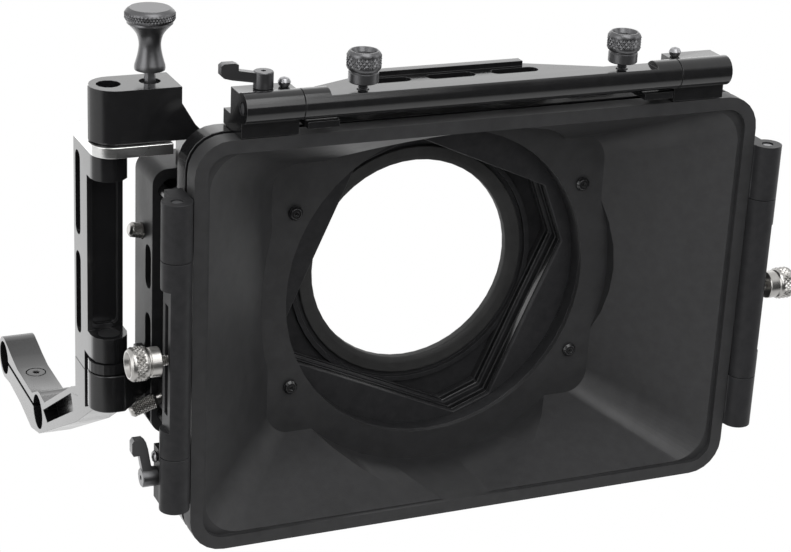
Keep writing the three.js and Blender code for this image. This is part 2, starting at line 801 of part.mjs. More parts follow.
function hood() {
  const neckBack = frameFront - gap;
  const backFace = hoodBack + hoodBackThickness;
  const flange = prism('front', roundedRect(frameWidth / 2, frameHeight / 2, frameCorner), 0, flangeDepth);
  const neck = prism('front', roundedRect(frameWidth / 2 - neckInset, frameHeight / 2 - neckInset,
    frameCorner - neckInset), flangeDepth / 2, neckBack);
  const walls = slopingBox(hoodWall, flangeDepth / 2, backFace);
  const drum = disc('front', 0, 0, roundRecessRadius + roundRecessWall, flangeDepth / 2, backFace, ringSides);
  const step = prism('front', roundedRect(frameWidth / 2 - flangeFace, frameHeight / 2 - flangeFace,
    frameCorner - flangeFace), -overrun, flangeStep);
  const funnel = slopingBox(0, flangeStep / 2, hoodBack);
  const roundRecess = disc('front', 0, 0, roundRecessRadius, flangeStep, hoodBack, ringSides);
  const throat = disc('front', 0, 0, throatRadius, hoodBack - overrun, backFace + overrun, ringSides);
  const holes = hoodScrewPlaces().map(([x, z]) => disc('front', x, z, hoodScrewDiameter / 2 + gap,
    hoodBack - overrun, backFace + overrun, pinSides));
  return cut(join(flange, neck, walls, drum), step, funnel, roundRecess, throat, ...holes);
}

function hoodScrewPlaces() {
  return [[-1, 1], [1, 1], [1, -1], [-1, -1]].map(([x, z]) => [x * hoodScrewX, z * hoodScrewZ]);
}

// Screw with a low round head facing the hood's mouth
function hoodScrew() {
  const shank = hoodScrewDiameter / 2;
  const head = hoodScrewHead / 2;
  const length = frontPlateThickness + hoodBackThickness + gap;
  const top = hoodScrewHeadHeight;
  const screw = turned([[0, -length], [shank, -length], [shank, gap], [head, gap],
    [head, top / 2], [hoodScrewDome, top], [0, top]], pinSides);
  return cut(screw, disc('top', 0, 0, hoodScrewSocket, top / 2, top + overrun, hexSides));
}

// Metal frame behind the flange
function hoodFrame() {
  const outline = roundedRect(frameWidth / 2, frameHeight / 2, frameCorner);
  const outer = prism('front', outline, frameFront, frameBack);
  const [openX, openZ] = wallHalves(frameFront, hoodWall + frameClear);
  const opening = roundedRect(openX, openZ, frameInnerCorner);
  const inner = prism('front', opening, frameFront - overrun, frameBack + overrun);
  const round = disc('front', 0, 0, roundRecessRadius + roundRecessWall + gap, frameFront - overrun,
    frameBack + overrun, ringSides);
  return cut(outer, inner, round);
}

// Front plate: carries the hood and the front stage, and closes onto the corner posts
function frontPlate() {
  const back = platePlane + frontPlateThickness;
  const round = disc('front', 0, 0, stageRadius, platePlane, back, ringSides);
  const barOutline = roundedRect(frontPlateHalfWidth, frontPlateHalfHeight, frameCorner / 2);
  const bar = prism('front', barOutline, platePlane, back);
  const tab = block(-bridgeHalfWidth, bridgeHalfWidth, platePlane, back, bridgeFoot, bridgeTop);
  const collar = disc('front', 0, 0, throatRadius + frontCollarWall, platePlane,
    back + frontCollarLength, ringSides);
  const lug = block(-frontPlateHalfWidth, -lugInner, platePlane, lugBack,
    frontLockHeight - lugHalfHeight, frontLockHeight + lugHalfHeight);
  const throat = disc('front', 0, 0, throatRadius, platePlane - overrun, lugBack, ringSides);
  const screwHoles = hoodScrewPlaces().map(([x, z]) => disc('front', x, z, hoodScrewDiameter / 2 + gap,
    platePlane - overrun, back + overrun, pinSides));
  const postHoles = postPlaces().map(([x, z]) => disc('front', x, z, postDiameter / 2 + gap,
    platePlane - overrun, back + overrun));
  return cut(join(round, bar, tab, collar, lug), throat, ...screwHoles, ...postHoles, frontLockHole());
}

function postPlaces() {
  return [[-1, 1], [1, 1], [1, -1], [-1, -1]].map(([x, z]) => [x * postX, z * postZ]);
}

function topBridge() {
  const slab = block(-bridgeHalfWidth, bridgeHalfWidth, frameBack + gap, platePlane - gap,
    bridgeFoot, bridgeTop);
  const drum = disc('front', 0, 0, roundRecessRadius + roundRecessWall + gap, frameBack - overrun,
    platePlane + overrun, ringSides);
  return cut(slab, drum, slopingBox(hoodWall + gap, frameBack, platePlane));
}

piece(box, 'hood', 'plastic', hood());
piece(box, 'hood_frame', 'anodised', hoodFrame());
piece(box, 'front_plate', 'anodised', frontPlate());
piece(box, 'top_bridge', 'anodised', topBridge());
postPlaces().forEach(([x, z], i) => {
  const post = disc('front', x, z, postDiameter / 2, frameBack + gap, postEnd);
  piece(box, `corner_post_${i + 1}`, 'anodised', post);
});
hoodScrewPlaces().forEach(([x, z], i) => {
  const screw = piece(box, `hood_screw_${i + 1}`, 'anodised', hoodScrew());
  screw.rotation.x = Math.PI / 2;
  screw.position.set(x, hoodBack, z);
});

// Lock screws press on the stage rings from the side of the box
function radialHole(depth, angle, radius, from, to) {
  const geometry = new THREE.CylinderGeometry(radius, radius, to - from, smallSides);
  geometry.rotateZ(Math.PI / 2);
  geometry.translate(-(from + to) / 2, 0, 0);
  geometry.rotateY(-angle);
  geometry.translate(0, depth, 0);
  return solid(geometry);
}

function frontLockHole() {
  return radialHole(frontLockDepth, frontLockAngle, lockDiameter / 2 + gap, stageRadius, frontLockTip);
}

function lockScrew(shoulder, tip) {
  const shank = lockDiameter / 2;
  const handle = lockHandle / 2;
  const base = stageRadius + gap;
  return turned([[0, base], [shank / 2, base], [shank, base + shank], [shank, shoulder],
    [handle - lockEdge, shoulder], [handle, shoulder + lockEdge], [handle, tip - lockEdge],
    [handle - lockEdge, tip], [0, tip]]);
}

function placeLock(name, depth, angle, shoulder, tip) {
  const radial = new THREE.Group();
  radial.position.y = depth;
  radial.rotation.y = -Math.PI / 2 - angle;
  box.add(radial);
  piece(radial, name, 'bright', lockScrew(shoulder, tip));
}

// Filter stages: a ring with a chamfered window and a slot for one tray
function windowOutline() {
  const h = windowHalf;
  const a = upperChamfer;
  const b = lowerChamfer;
  return polygon([[-h + b, -h], [h - b, -h], [h, -h + b], [h, h - a],
    [h - a, h], [-h + a, h], [-h, h - a], [-h, -h + b]]);
}

function stageRing(front, back, slotFront, extras) {
  const slotHalf = trayHalfWidth + gap;
  const ring = disc('front', 0, 0, stageRadius, front, back, ringSides);
  const window = prism('front', windowOutline(), front - overrun, back + overrun);
  const above = stageRadius + overrun;
  const slot = block(-slotHalf, slotHalf, slotFront, slotFront + traySlot, trayBottom - gap, above);
  const notch = block(-notchHalf, notchHalf, front - overrun, back + overrun, notchFloor, above);
  return cut(join(ring, ...extras.added), window, slot, notch, ...extras.removed);
}

function frontStageRing() {
  const collarBack = frontStageBack + stageCollarLength;
  const collar = cut(
    disc('front', 0, 0, stageCollarOuter, frontStageBack - lap, collarBack, ringSides),
    disc('front', 0, 0, stageCollarInner, frontStageBack, collarBack + overrun, ringSides),
  );
  const recess = disc('front', 0, 0, stageRecessRadius, frontStage - overrun,
    frontStage + frontStageRecess, ringSides);
  return stageRing(frontStage, frontStageBack, traySlotFront, { added: [collar], removed: [recess] });
}

function rearStageRing() {
  const grooveBack = frontStageBack + stageCollarLength + gap;
  const groove = cut(
    disc('front', 0, 0, stageCollarOuter + gap, rearStage - overrun, grooveBack, ringSides),
    disc('front', 0, 0, stageCollarInner - gap, rearStage - deepOverrun, grooveBack + overrun, ringSides),
  );
  const recessFront = rearStageBack - rearRecessDepth;
  const recess = disc('front', 0, 0, rearRecessRadius, recessFront, rearStageBack + overrun, ringSides);
  return stageRing(rearStage, rearStageBack, rearTraySlotFront, { added: [], removed: [groove, recess] });
}

function filterTray(slotFront) {
  const middle = (trayTop + trayBottom) / 2;
  const height = (trayTop - trayBottom) / 2;
  const from = slotFront + gap;
  const to = slotFront + traySlot - gap;
  const plate = prism('front', roundedRect(trayHalfWidth, height, traySide, 0, middle), from, to);
  const tab = block(-trayTabHalf, trayTabHalf, from, to, windowHalf + overrun, trayTabTop);
  return cut(join(plate, tab), prism('front', windowOutline(), from - overrun, to + overrun));
}

const stages = new THREE.Group();
stages.rotation.y = THREE.MathUtils.degToRad(stageTilt);
box.add(stages);
piece(stages, 'front_stage_ring', 'anodised', frontStageRing());
piece(stages, 'rear_stage_ring', 'anodised', rearStageRing());
piece(stages, 'front_filter_tray', 'anodised', filterTray(traySlotFront));
piece(stages, 'rear_filter_tray', 'anodised', filterTray(rearTraySlotFront));
placeLock('front_lock_screw', frontLockDepth, frontLockAngle, frontLockShoulder, frontLockTip);
placeLock('rear_lock_screw', rearLockDepth, rearLockAngle, rearLockShoulder, rearLockTip);

// Rear frame: a rimmed plate with side walls, and the soft ring that closes round the lens
function rearFrame() {
  const outline = () => roundedRect(rearHalfWidth, rearHalfHeight, rearCorner);
  const inset = (border) => roundedRect(rearHalfWidth - border, rearHalfHeight - border, rearCorner / 2);
  const plate = prism('front', outline(), rearPlateFront, rearPlateBack);
  const round = disc('front', 0, 0, rearDiscRadius, rearPlateFront, rearPlateBack, ringSides);
  const rim = cut(
    prism('front', outline(), rearPlateBack - lap, rearRimBack),
    prism('front', inset(rearRimWidth), rearPlateBack, rearRimBack + overrun),
  );
  const returns = rearHalfWidth - returnInset;
  const walls = cut(
    prism('front', outline(), sideWallFront, rearPlateFront + lap),
    prism('front', inset(rearWall), sideWallFront - overrun, rearPlateFront),
    block(-returns, returns, sideWallFront - overrun, rearPlateFront, -rearHalfWidth, rearHalfWidth),
  );
  const collar = disc('front', 0, 0, rearCollarOuter, rearCollarFront,
    rearPlateFront + lap, ringSides);
  const collarBore = disc('front', 0, 0, rearCollarInner, rearCollarFront - overrun,
    rearPlateFront, ringSides);
  const opening = disc('front', 0, 0, rearOpeningRadius, rearCollarFront, rearPlateBack + overrun, ringSides);
  const boss = block(-rearHalfWidth + rearWall / 2, -bossInner, bossFront, rearPlateFront + lap,
    rearLockHeight - bossHalfHeight, rearLockHeight + bossHalfHeight);
  const lockHole = radialHole(rearLockDepth, rearLockAngle, lockDiameter / 2 + gap, stageRadius, rearLockTip);
  const handleHole = radialHole(rearLockDepth, rearLockAngle, lockHandle / 2 + gap,
    rearLockShoulder - gap, rearLockTip + overrun);
  const slots = wallSlotSteps.flatMap((step) => [-1, 1].map((side) => {
    const shape = roundedRect(wallSlotWidth / 2, wallSlotLength / 2, wallSlotWidth / 2 - gap,
      wallSlotCentre, step * wallSlotPitch);
    const span = ordered(side * (rearHalfWidth + overrun), side * (rearHalfWidth - rearWall - overrun));
    return prism('side', shape, ...span, slotSteps);
  }));
  return cut(join(plate, round, collar, rim, walls, boss), collarBore, opening, lockHole, handleHole, ...slots);
}

function donutRing() {
  const lip = rearOpeningRadius + donutLip;
  const groove = rearOpeningRadius - gap;
  const front = rearPlateFront - gap;
  const back = rearPlateBack + gap;
  const points = [[lensRadius, front], [lensRadius + donutLip, donutFront], [lip, donutFront], [lip, front],
    [groove, front], [groove, back], [lip, back], [lip, donutBack], [lensRadius + donutNose, donutBack],
    [lensRadius, back], [lensRadius, front]];
  return turned(points, ringSides);
}

piece(box, 'rear_frame', 'anodised', rearFrame());
piece(box, 'donut_ring', 'rubber', donutRing()).rotation.set(-Math.PI / 2, 0, 0);

// Flag holders: a barrel turns between two fixed ends on each of three sides
function endHole(view, a, b, from, to) {
  return disc(view, a, b, flagPinDiameter / 2 + gap, from, to, pinSides);
}

// Top barrel: a long flat on top for its two thumb screws, and the slotted plate under it
const topBarrelFlat = topBarrelHeight + barrelRadius - topFlatDepth;

function topBarrel() {
  const barrel = disc('side', 0, topBarrelHeight, barrelRadius, -topBarrelHalf, topBarrelHalf, midSides);
  const ends = [-1, 1].map((side) => {
    const span = ordered(side * (topBarrelHalf - flagPinReach - gap), side * (topBarrelHalf + overrun));
    return endHole('side', 0, topBarrelHeight, ...span);
  });
  const above = topBarrelHeight + barrelRadius + overrun;
  const flat = block(-topFlatHalf, topFlatHalf, -barrelRadius - overrun, barrelRadius + overrun,
    topBarrelFlat, above);
  const threads = [-topThumbX, topThumbX].map((x) => disc('top', x, 0, thumbThreadRadius + gap,
    topBarrelFlat - thumbDepth - gap, above, pinSides));
  return cut(barrel, flat, ...ends, ...threads);
}

function topFlagPlate() {
  const top = topBarrelHeight - barrelRadius - gap;
  const base = top - flagPlateThickness;
  const rightSide = [[flagPlateNeck, flagPlateOpen], [flagPlateNeck, flagPlateFront],
    [flagPlateHalf, flagPlateFront], [flagPlateHalf, flagPlateShoulder], [flagPlateTaper, flagPlateBack]];
  const leftSide = rightSide.map(([x, y]) => [-x, y]).reverse();
  const plan = polygon([...rightSide, ...leftSide]);
  const plate = prism('top', plan, base, top);
  const bar = block(-flagPlateTaper, flagPlateTaper, flagPlateBack - flagBarWidth, flagPlateBack,
    base, top + flagBarHeight);
  const places = flagRowSteps.flatMap((reach, row) => (
    Array.from({ length: 2 * reach + 1 }, (_, i) => (
      [(i - reach) * flagSlotPitch, flagRowPlace + row * flagRowPitch]))));
  const slots = places.map(([x, y]) => {
    const outline = roundedRect(flagSlotLength / 2, flagSlotWidth / 2, flagSlotCorner, x, y);
    return prism('top', outline, base - overrun, top + overrun, slotSteps);
  });
  return cut(join(plate, bar), ...slots);
}

// End block: fixed end of the top barrel, a block behind it and a foot on the hood frame
function topEndBlock(side) {
  const [x0, x1] = ordered(side * (topBarrelHalf + gap), side * topBarrelEnd);
  const top = topBarrelHeight + blockTop;
  const foot = frameHeight / 2 + gap;
  const barrel = disc('side', 0, topBarrelHeight, barrelRadius, x0, x1, midSides);
  const body = block(x0, x1, 0, blockDepth, foot, top);
  const base = block(x0, x1, blockFootFront, blockFootBack, foot, blockFootTop);
  const hole = endHole('side', 0, topBarrelHeight, x0 - overrun, x1 + overrun);
  const leverX = side * (topBarrelHalf + leverFromSeam);
  const stopX = side * (topBarrelHalf + stopFromSeam);
  const seat = top - leverStemDepth - gap;
  const stem = disc('top', leverX, leverDepthPlace, leverStemRadius + gap, seat, top + overrun, pinSides);
  const stop = disc('top', stopX, leverDepthPlace, stopShankRadius + gap, seat, top + overrun, pinSides);
  const bores = side < 0 ? [hole, stem, stop] : [hole, stop];
  return cut(join(barrel, body, base), ...bores);
}

// Side barrel: a long flat for the thumb screw on its outer side, with a groove along it
function sideBarrel(side) {
  const x = side * (frameWidth / 2 + sideBarrelOffset);
  const barrel = disc('top', x, 0, barrelRadius, -sideBarrelHalf, sideBarrelHalf, midSides);
  const flatPlane = x + side * (barrelRadius - flatDepth);
  const outside = x + side * (barrelRadius + overrun);
  const grooveFloor = flatPlane - side * barrelGrooveDepth;
  const flat = block(...ordered(flatPlane, outside), -barrelRadius - overrun, barrelRadius + overrun,
    -flatHalf, flatHalf);
  const groove = block(...ordered(grooveFloor, outside), -barrelGrooveWidth / 2, barrelGrooveWidth / 2,
    -barrelGrooveHalf, barrelGrooveHalf);
  const ends = [-1, 1].map((end) => {
    const span = ordered(end * (sideBarrelHalf - flagPinReach - gap), end * (sideBarrelHalf + overrun));
    return endHole('top', x, 0, ...span);
  });
  const seat = flatPlane - side * (thumbDepth + gap);
  const thread = disc('side', 0, 0, thumbThreadRadius + gap, ...ordered(seat, outside), pinSides);
  return cut(barrel, flat, groove, ...ends, thread);
}

// Knuckle: fixed end of a side barrel with a plate back along the hood frame's side
function sideKnuckle(side, end) {
  const x = side * (frameWidth / 2 + sideBarrelOffset);
  const [z0, z1] = ordered(end * (sideBarrelHalf + gap), end * sideBarrelEnd);
  const outer = end > 0 ? knuckleInner + upperKnuckleThickness : knuckleOuter;
  const depth = end > 0 ? upperKnuckleDepth : lowerKnuckleDepth;
  const [x0, x1] = ordered(side * knuckleInner, side * outer);
  const barrel = disc('top', x, 0, barrelRadius, z0, z1, midSides);
  const plate = block(x0, x1, 0, depth, z0, z1);
  const hole = endHole('top', x, 0, z0 - overrun, z1 + overrun);
  const bores = [hole];
  if (end < 0) {
    const span = ordered(side * (knuckleOuter + overrun), side * (knuckleOuter - leverStemDepth - gap));
    const stopZ = -sideBarrelHalf - stopFromSeam;
    const leverZ = -sideBarrelHalf - leverFromSeam;
    bores.push(disc('side', leverDepthPlace, stopZ, stopShankRadius + gap, ...span, pinSides));
    if (side < 0) {
      bores.push(disc('side', leverDepthPlace, leverZ, leverStemRadius + gap, ...span, pinSides));
    }
  }
  return cut(join(barrel, plate), ...bores);
}

// Pin from a fixed end into its barrel
function flagPin() {
  const end = topBarrelEnd - topBarrelHalf;
  return disc('top', 0, 0, flagPinDiameter / 2, -flagPinReach, end - gap, pinSides);
}

// Thumb screw: thread, collar and knurled head with a dished end
function thumbScrew() {
  const edge = thumbRadius - thumbCollarRadius;
  const headBase = thumbThread + thumbCollar;
  const headTop = headBase + thumbKnurl;
  return turned([[0, -thumbDepth], [thumbThreadRadius, -thumbDepth], [thumbThreadRadius, thumbThread],
    [thumbCollarRadius, thumbThread], [thumbCollarRadius, headBase], [thumbRadius, headBase + edge / 2],
    [thumbRadius, headTop - edge / 2], [thumbRadius - edge / 2, headTop], [thumbDishRadius, headTop],
    [thumbDishFloor, headTop - thumbDishDepth], [0, headTop - thumbDishDepth]], thumbSides);
}

// Clamping lever: hub on a stem, with a flat arm that rises to a thick rounded tip
function lever() {
  const hub = turned([[0, -leverStemDepth], [leverStemRadius, -leverStemDepth], [leverStemRadius, gap],
    [leverHubRadius, gap], [leverHubRadius, leverHubHeight - gap], [leverHubRadius - gap, leverHubHeight],
    [0, leverHubHeight]]);
  const outline = leverShares.map(
    ([along, height]) => [-along * leverLength, leverArmBase + height * leverHeight],
  );
  const arm = prism('front', polygon(outline), -leverWidth / 2, leverWidth / 2);
  const socket = disc('top', 0, 0, leverSocketRadius, leverHubHeight - leverSocketDepth,
    leverHubHeight + overrun, hexSides);
  return cut(join(hub, arm), socket);
}

// Stop screw: round head on a thin shank beside the lever
function stopScrew(headHeight) {
  const dome = stopShares.map(([radius, height]) => [radius * stopRadius, height * headHeight]);
  return turned([[0, -leverStemDepth], [stopShankRadius, -leverStemDepth], [stopShankRadius, gap],
    ...dome], pinSides);
}

const flagTop = topBarrelHeight + blockTop;
piece(box, 'top_barrel', 'anodised', topBarrel());
piece(box, 'top_flag_plate', 'anodised', topFlagPlate());
[['left', -1], ['right', 1]].forEach(([word, side]) => {
  piece(box, `top_${word}_end_block`, 'anodised', topEndBlock(side));
  const topPin = piece(box, `top_${word}_pin`, 'steel', flagPin());
  topPin.position.set(side * topBarrelHalf, 0, topBarrelHeight);
  topPin.rotation.y = side * Math.PI / 2;
  const topThumb = piece(box, `top_${word}_thumb_screw`, 'gunmetal', thumbScrew());
  topThumb.position.set(side * topThumbX, 0, topBarrelFlat);
  const topStop = piece(box, `top_${word}_stop_screw`, 'steel', stopScrew(stopHeight));
  topStop.position.set(side * (topBarrelHalf + stopFromSeam), leverDepthPlace, flagTop);

  const x = side * (frameWidth / 2 + sideBarrelOffset);
  piece(box, `${word}_barrel`, 'anodised', sideBarrel(side));
  piece(box, `${word}_upper_knuckle`, 'anodised', sideKnuckle(side, 1));
  piece(box, `${word}_lower_knuckle`, 'anodised', sideKnuckle(side, -1));
  const upperPin = piece(box, `${word}_upper_pin`, 'steel', flagPin());
  upperPin.position.set(x, 0, sideBarrelHalf);
  const lowerPin = piece(box, `${word}_lower_pin`, 'steel', flagPin());
  lowerPin.position.set(x, 0, -sideBarrelHalf);
  lowerPin.rotation.x = Math.PI;
  const thumb = piece(box, `${word}_thumb_screw`, 'bright', thumbScrew());
  thumb.position.set(x + side * (barrelRadius - flatDepth), 0, 0);
  thumb.rotation.y = side * Math.PI / 2;
});
const topLever = piece(box, 'top_lever', 'gunmetal', lever());
topLever.position.set(-topBarrelHalf - leverFromSeam, leverDepthPlace, flagTop);
const leftLever = piece(box, 'left_lever', 'gunmetal', lever());
leftLever.position.set(-knuckleOuter, leverDepthPlace, -sideBarrelHalf - leverFromSeam);
leftLever.rotation.set(Math.PI, -Math.PI / 2, 0);
[['left', -1], ['right', 1]].forEach(([word, side]) => {
  const stop = piece(box, `${word}_stop_screw`, 'steel', stopScrew(sideStopHeight));
  stop.position.set(side * knuckleOuter, leverDepthPlace, -sideBarrelHalf - stopFromSeam);
  stop.rotation.y = side * Math.PI / 2;
});

export default matteBox;
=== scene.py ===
import json
import math

import bmesh
import bpy
from bpy.props import FloatProperty, FloatVectorProperty, IntProperty, PointerProperty
from bpy.types import Operator, Panel, PropertyGroup
from mathutils import Matrix, Vector


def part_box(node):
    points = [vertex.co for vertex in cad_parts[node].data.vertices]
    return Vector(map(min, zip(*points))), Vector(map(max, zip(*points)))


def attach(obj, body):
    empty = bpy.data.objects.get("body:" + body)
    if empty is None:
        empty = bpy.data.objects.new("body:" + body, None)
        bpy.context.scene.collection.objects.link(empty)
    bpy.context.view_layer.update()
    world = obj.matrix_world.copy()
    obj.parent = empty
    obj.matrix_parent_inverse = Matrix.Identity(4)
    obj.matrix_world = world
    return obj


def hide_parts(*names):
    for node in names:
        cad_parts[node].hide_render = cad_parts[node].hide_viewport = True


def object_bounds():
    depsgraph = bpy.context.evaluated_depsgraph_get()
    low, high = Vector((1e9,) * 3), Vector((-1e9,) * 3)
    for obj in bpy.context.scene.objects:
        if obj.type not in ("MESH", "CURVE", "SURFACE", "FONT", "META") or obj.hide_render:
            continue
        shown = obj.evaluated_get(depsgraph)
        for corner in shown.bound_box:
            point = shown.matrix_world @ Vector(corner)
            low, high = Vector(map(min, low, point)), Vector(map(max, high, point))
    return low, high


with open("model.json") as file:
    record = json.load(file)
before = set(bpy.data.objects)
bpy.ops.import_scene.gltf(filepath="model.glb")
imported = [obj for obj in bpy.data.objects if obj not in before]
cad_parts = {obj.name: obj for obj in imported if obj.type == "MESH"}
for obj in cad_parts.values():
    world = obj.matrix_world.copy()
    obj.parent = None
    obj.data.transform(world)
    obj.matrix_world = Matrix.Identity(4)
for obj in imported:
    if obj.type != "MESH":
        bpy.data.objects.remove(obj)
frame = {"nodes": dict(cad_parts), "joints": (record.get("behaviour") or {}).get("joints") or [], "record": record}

SOLID_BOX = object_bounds()

bl_info = {
    "name": "Matte box",
    "version": (1, 0, 0),
    "blender": (4, 5, 0),
    "location": "3D View > Sidebar > Matte box",
    "description": "Dresses the solids of a swing-away matte box with eased edges, knurled grips "
                   "and finishes",
    "category": "Object",
}

BODY_OF = {
    node: body
    for body, members in frame["record"]["behaviour"]["bodies"].items()
    for node in members
}
SLOT_OF = {entry["node"]: entry["material_slot"] for entry in frame["record"]["subparts"]}

# Anodised pieces with a duller surface than the rest, whose colour is also painted lighter: painted light standing
# in for the light that these barrels, knuckles, rings and frames catch
SATIN_PAINTED_LIGHTER_NODES = ("rear_frame", "front_plate", "front_stage_ring", "rear_stage_ring", "left_barrel",
               "left_upper_knuckle", "left_lower_knuckle", "right_barrel", "right_upper_knuckle",
               "right_lower_knuckle")

# Corners closer than this are one corner, and faces flatter than this to each other are one face
MERGE = 1e-5
SEAM = MERGE / 10
FLAT = math.radians(0.8)
SHARP = math.radians(40)

# Bevels: widths as shares of the edge ease, and steps across them
SCREW_EASE_SHARE = 0.5
SUPPORT_EASE_SHARE = 1.2
BEVEL_STEPS = 2
ARM_BEVEL_STEPS = 3

# Noise patterns of the finishes
GRAIN_TONE_SHARE = 0.11
MARKS_LOW, MARKS_HIGH = 0.3, 0.7
RUBBED_SCALE = 130.0
RUBBED_LOW, RUBBED_HIGH = 0.38, 0.62
RUBBED_LEAST = 0.25
TOOL_MARK_STRETCH = (1.0, 14.0, 42.0)
RELIEF = 0.0002

# How much lighter a finish is than the colour that it is made from. For satin this lift is painted light: a lit
# copy of the anodised colour
SATIN_PAINTED_LIGHT_LIFT = 2.6
EDGE_LIFTS = {"plastic": 2.2, "gunmetal": 2.0, "stainless": 1.25, "bright": 1.4, "steel": 1.6}

# Gloss, grain and wear of each slot's finish
FINISH_LOOKS = {
    "anodised": {"name": "black anodised", "wear": 0.3, "grain": 2600.0, "bump": 0.05, "spread": 0.04},
    # Satin: a duller, less glossy copy of black anodised whose colour is painted lighter, painted light
    "satin": {"name": "black satin, painted lighter", "roughness": 0.4, "specular": 0.12, "wear": 0.3, "grain": 2600.0,
              "bump": 0.08},
    "plastic": {"name": "black moulded", "specular": 0.42, "wear": 0.6, "grain": 1900.0, "bump": 0.16},
    "gunmetal": {"name": "gunmetal", "roughness": 0.3, "metallic": 1.0, "wear": 0.7, "grain": 1500.0,
                 "bump": 0.05},
    "stainless": {"name": "stainless plate", "roughness": 0.26, "metallic": 1.0, "wear": 0.8,
                  "grain": 26.0, "bump": 0.08, "tone": 1.12, "brushed": True},
    "bright": {"name": "bright steel", "roughness": 0.3, "metallic": 1.0, "wear": 0.6, "grain": 1500.0,
               "bump": 0.05, "tone": 1.2},
    "rubber": {"name": "soft rubber", "roughness": 0.62, "specular": 0.35, "grain": 1400.0, "bump": 0.25},
    "steel": {"name": "plain steel", "roughness": 0.36, "metallic": 1.0, "wear": 0.5, "grain": 1500.0,
              "bump": 0.05, "tone": 1.25},
}

# Thread: its root as a share of its crest
THREAD_ROOT_SHARE = 0.86

# Thumb screw: heights as shares of its length, radii as shares of its head, small steps in edges
THUMB_COLLAR_LOW_SHARE = 0.386
THUMB_HEAD_LOW_SHARE = 0.63
THUMB_HEAD_HIGH_SHARE = 0.975
THUMB_DISH_SHARE = 0.095
THUMB_THREAD_SHARE = 0.3
THUMB_COLLAR_SHARE = 0.86
THUMB_EDGE_SHARE = 0.05
THUMB_NECK_EDGES = 2
THUMB_CHAMFER_EDGES = 2.5
THUMB_LIP_EDGES = 1.2
THUMB_SLOPE_SHARE = 0.9
THUMB_DISH_SHARES = (0.73, 0.7, 0.6, 0.5)

# Lock screw: its edge and shank as shares of its handle, and its sides as a share of a turned piece's
LOCK_EDGE_SHARE = 0.2
LOCK_SHANK_SHARE = 0.66
LOCK_SIDES_SHARE = 0.4

# Pull knob: outline points as shares of its head's radius and of its length
PULL_FOOT_SHARES = ((0.0, 0.0), (0.5, 0.0), (0.6, 0.015), (0.61, 0.05))
PULL_NECK_SHARES = ((0.6, 0.09), (0.5, 0.23), (0.44, 0.36), (0.44, 0.46), (0.51, 0.57), (0.64, 0.65),
                    (0.79, 0.715), (0.9, 0.76))
PULL_TOP_SHARES = ((0.8, 1.0), (0.4, 1.0), (0.0, 1.0))
PULL_HEAD_LOW_SHARE = 0.79
PULL_BAND_LOW_SHARE, PULL_BAND_HIGH_SHARE = 0.81, 0.95
PULL_HEAD_HIGH_SHARE = 0.975
PULL_CHAMFER_SHARE = 0.99
PULL_EDGE_SHARE = 0.06
PULL_CURVE_STEPS = 5
PULL_EXTRA_SIDES = 16

# Room and floor: reflections find them dim behind the camera, the camera itself sees them white
WHITE = (1, 1, 1, 1)
ROOM_GLOW = 0.35
DIM_GLOW = 0.07
ROOM_DIM_AT, ROOM_WHITE_AT = -0.75, -0.55
FLOOR_DIM_FROM, FLOOR_WHITE_FROM = 1.1, 0.7
FLOOR_SIDES = 64
FLOOR_COLOUR = (0.9, 0.9, 0.9, 1)
FLOOR_ROUGHNESS = 0.9
FLOOR_SPECULAR = 0.1

# Soft boxes: name, place, width, height and brightness
SOFT_BOXES = (
    ("left soft box", (-1.05, -0.55, 0.45), 0.8, 1.0, 1.8),
    ("front soft box", (0.2, -1.5, 0.9), 1.0, 0.8, 2.6),
    ("top soft box", (0.1, -0.75, 1.3), 0.9, 0.9, 3.0),
    ("right soft box", (1.3, -0.5, 0.5), 0.5, 0.9, 0.9),
)

# Soft boxes behind the object: name, direction and distance from its centre, side and brightness
BACK_SOFT_BOXES = (
    ("left back soft box", (-0.383, 0.847, -0.369), 0.9, 0.9, 0.72),
    ("back soft box", (0.383, 0.847, 0.369), 1.1, 0.9, 0.65),
)

# Camera: its place, the directions of the picture's right and top, and its lens
CAMERA_PLACE = (-0.21405, -0.85408, 0.40330)
CAMERA_RIGHT = (0.91779, -0.39434, 0.04652)
CAMERA_UP = (0.10623, 0.35675, 0.92814)
CAMERA_SENSOR = 36.0
CAMERA_LENS = 98.1


class MatteBoxFinishes(PropertyGroup):
    """Colours and gloss of the box's finishes"""

    anodised: FloatVectorProperty(
        name="Anodised", description="Black anodised aluminium", subtype="COLOR", size=3,
        default=(0.009, 0.009, 0.0095))
    anodised_edge: FloatVectorProperty(
        name="Anodised edge", description="Rubbed edges of the anodised parts", subtype="COLOR", size=3,
        default=(0.1, 0.1, 0.103))
    moulded: FloatVectorProperty(
        name="Moulded", description="Black moulded plastic of the hood", subtype="COLOR", size=3,
        default=(0.023, 0.023, 0.024))
    gunmetal: FloatVectorProperty(
        name="Gunmetal", description="Dark grey metal of knobs and levers", subtype="COLOR", size=3,
        default=(0.33, 0.33, 0.335))
    stainless: FloatVectorProperty(
        name="Stainless", description="Bright index plate", subtype="COLOR", size=3,
        default=(0.68, 0.68, 0.67))
    bright: FloatVectorProperty(
        name="Bright steel", description="Bright knurled screws", subtype="COLOR", size=3,
        default=(0.4, 0.39, 0.375))
    steel: FloatVectorProperty(
        name="Plain steel", description="Pins and small screws", subtype="COLOR", size=3,
        default=(0.3, 0.3, 0.31))
    rubber: FloatVectorProperty(
        name="Rubber", description="Soft ring round the lens", subtype="COLOR", size=3,
        default=(0.03, 0.03, 0.03))
    anodised_roughness: FloatProperty(
        name="Anodised roughness", description="Roughness of the anodised parts", subtype="FACTOR",
        default=0.15, min=0.05, max=1)
    moulded_roughness: FloatProperty(
        name="Moulded roughness", description="Roughness of the hood", subtype="FACTOR",
        default=0.48, min=0.05, max=1)


